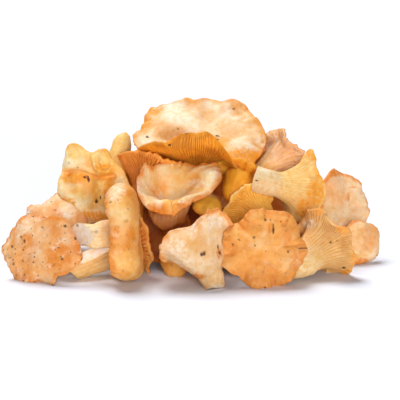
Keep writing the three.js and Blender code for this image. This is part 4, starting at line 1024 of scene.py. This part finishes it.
# %% How one gives way to another
def corners_of(obj):
    """The lowest and the highest corner of an object's box."""
    box = np.array(obj.bound_box)
    return box.min(0), box.max(0)


def grown_by(obj, room):
    """A copy whose skin has moved outwards by that many millimetres."""
    tool = obj.copy()
    tool.data = obj.data.copy()
    tool.name = "room_for_" + obj.name
    bpy.context.scene.collection.objects.link(tool)
    count = len(tool.data.vertices)
    place, normal = np.zeros(count * 3, np.float32), np.zeros(count * 3, np.float32)
    tool.data.vertices.foreach_get("co", place)
    tool.data.vertex_normals.foreach_get("vector", normal)
    tool.data.vertices.foreach_set("co", place + normal * room * MM)
    tool.data.update()
    tool.hide_render = True
    return tool


def press(obj, tools):
    """Takes away what lies inside the tools, and keeps the biggest piece that is left."""
    for tool in tools:
        (low, high), (tool_low, tool_high) = corners_of(obj), corners_of(tool)
        if (low > tool_high).any() or (high < tool_low).any():
            continue
        only(obj)
        pressed = obj.modifiers.new("pressed", "BOOLEAN")
        pressed.operation, pressed.solver, pressed.object = "DIFFERENCE", "MANIFOLD", tool
        bpy.ops.object.modifier_apply(modifier=pressed.name)
    name = obj.name
    only(obj)
    bpy.ops.object.mode_set(mode="EDIT")
    bpy.ops.mesh.select_all(action="SELECT")
    bpy.ops.mesh.separate(type="LOOSE")
    bpy.ops.object.mode_set(mode="OBJECT")
    parts = sorted(bpy.context.selected_objects, key=lambda part: len(part.data.vertices))
    for part in parts[:-1]:
        bpy.data.objects.remove(part)
    parts[-1].name = name
    return parts[-1]


bpy.ops.mesh.primitive_cube_add(size=1, location=(0, 0, -10 * MM), scale=(1, 1, 20 * MM))
bpy.ops.object.transform_apply(location=True, scale=True)
below_table = bpy.context.object
below_table.name = "room_below_the_table"
print("the table's tool ends at a height of", corners_of(below_table)[1][2])

# %% Grow the heap
ROOM = 0.2  # air between two mushrooms that touch
SMOOTH_BELOW = math.radians(65)  # edges that are sharper than this stay sharp

tools = [below_table]
total = 0
for recipe in recipes:
    piece = press(grow(recipe), tools)
    only(piece)
    bpy.ops.object.shade_smooth_by_angle(angle=SMOOTH_BELOW)
    piece.data.materials.clear()
    piece.data.materials.append(materials[recipe["wears"]])
    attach(piece, "root")
    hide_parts(recipe["name"])
    tools.append(grown_by(piece, ROOM))
    triangles = sum(len(face.vertices) - 2 for face in piece.data.polygons)
    total += triangles
    print(recipe["name"], triangles, "triangles")
print("all mushrooms together:", total, "triangles")

# %% [markdown]
# ## Clear up
# The tools have done their work and go.

# %% Clear up
for tool in tools:
    bpy.data.objects.remove(tool)
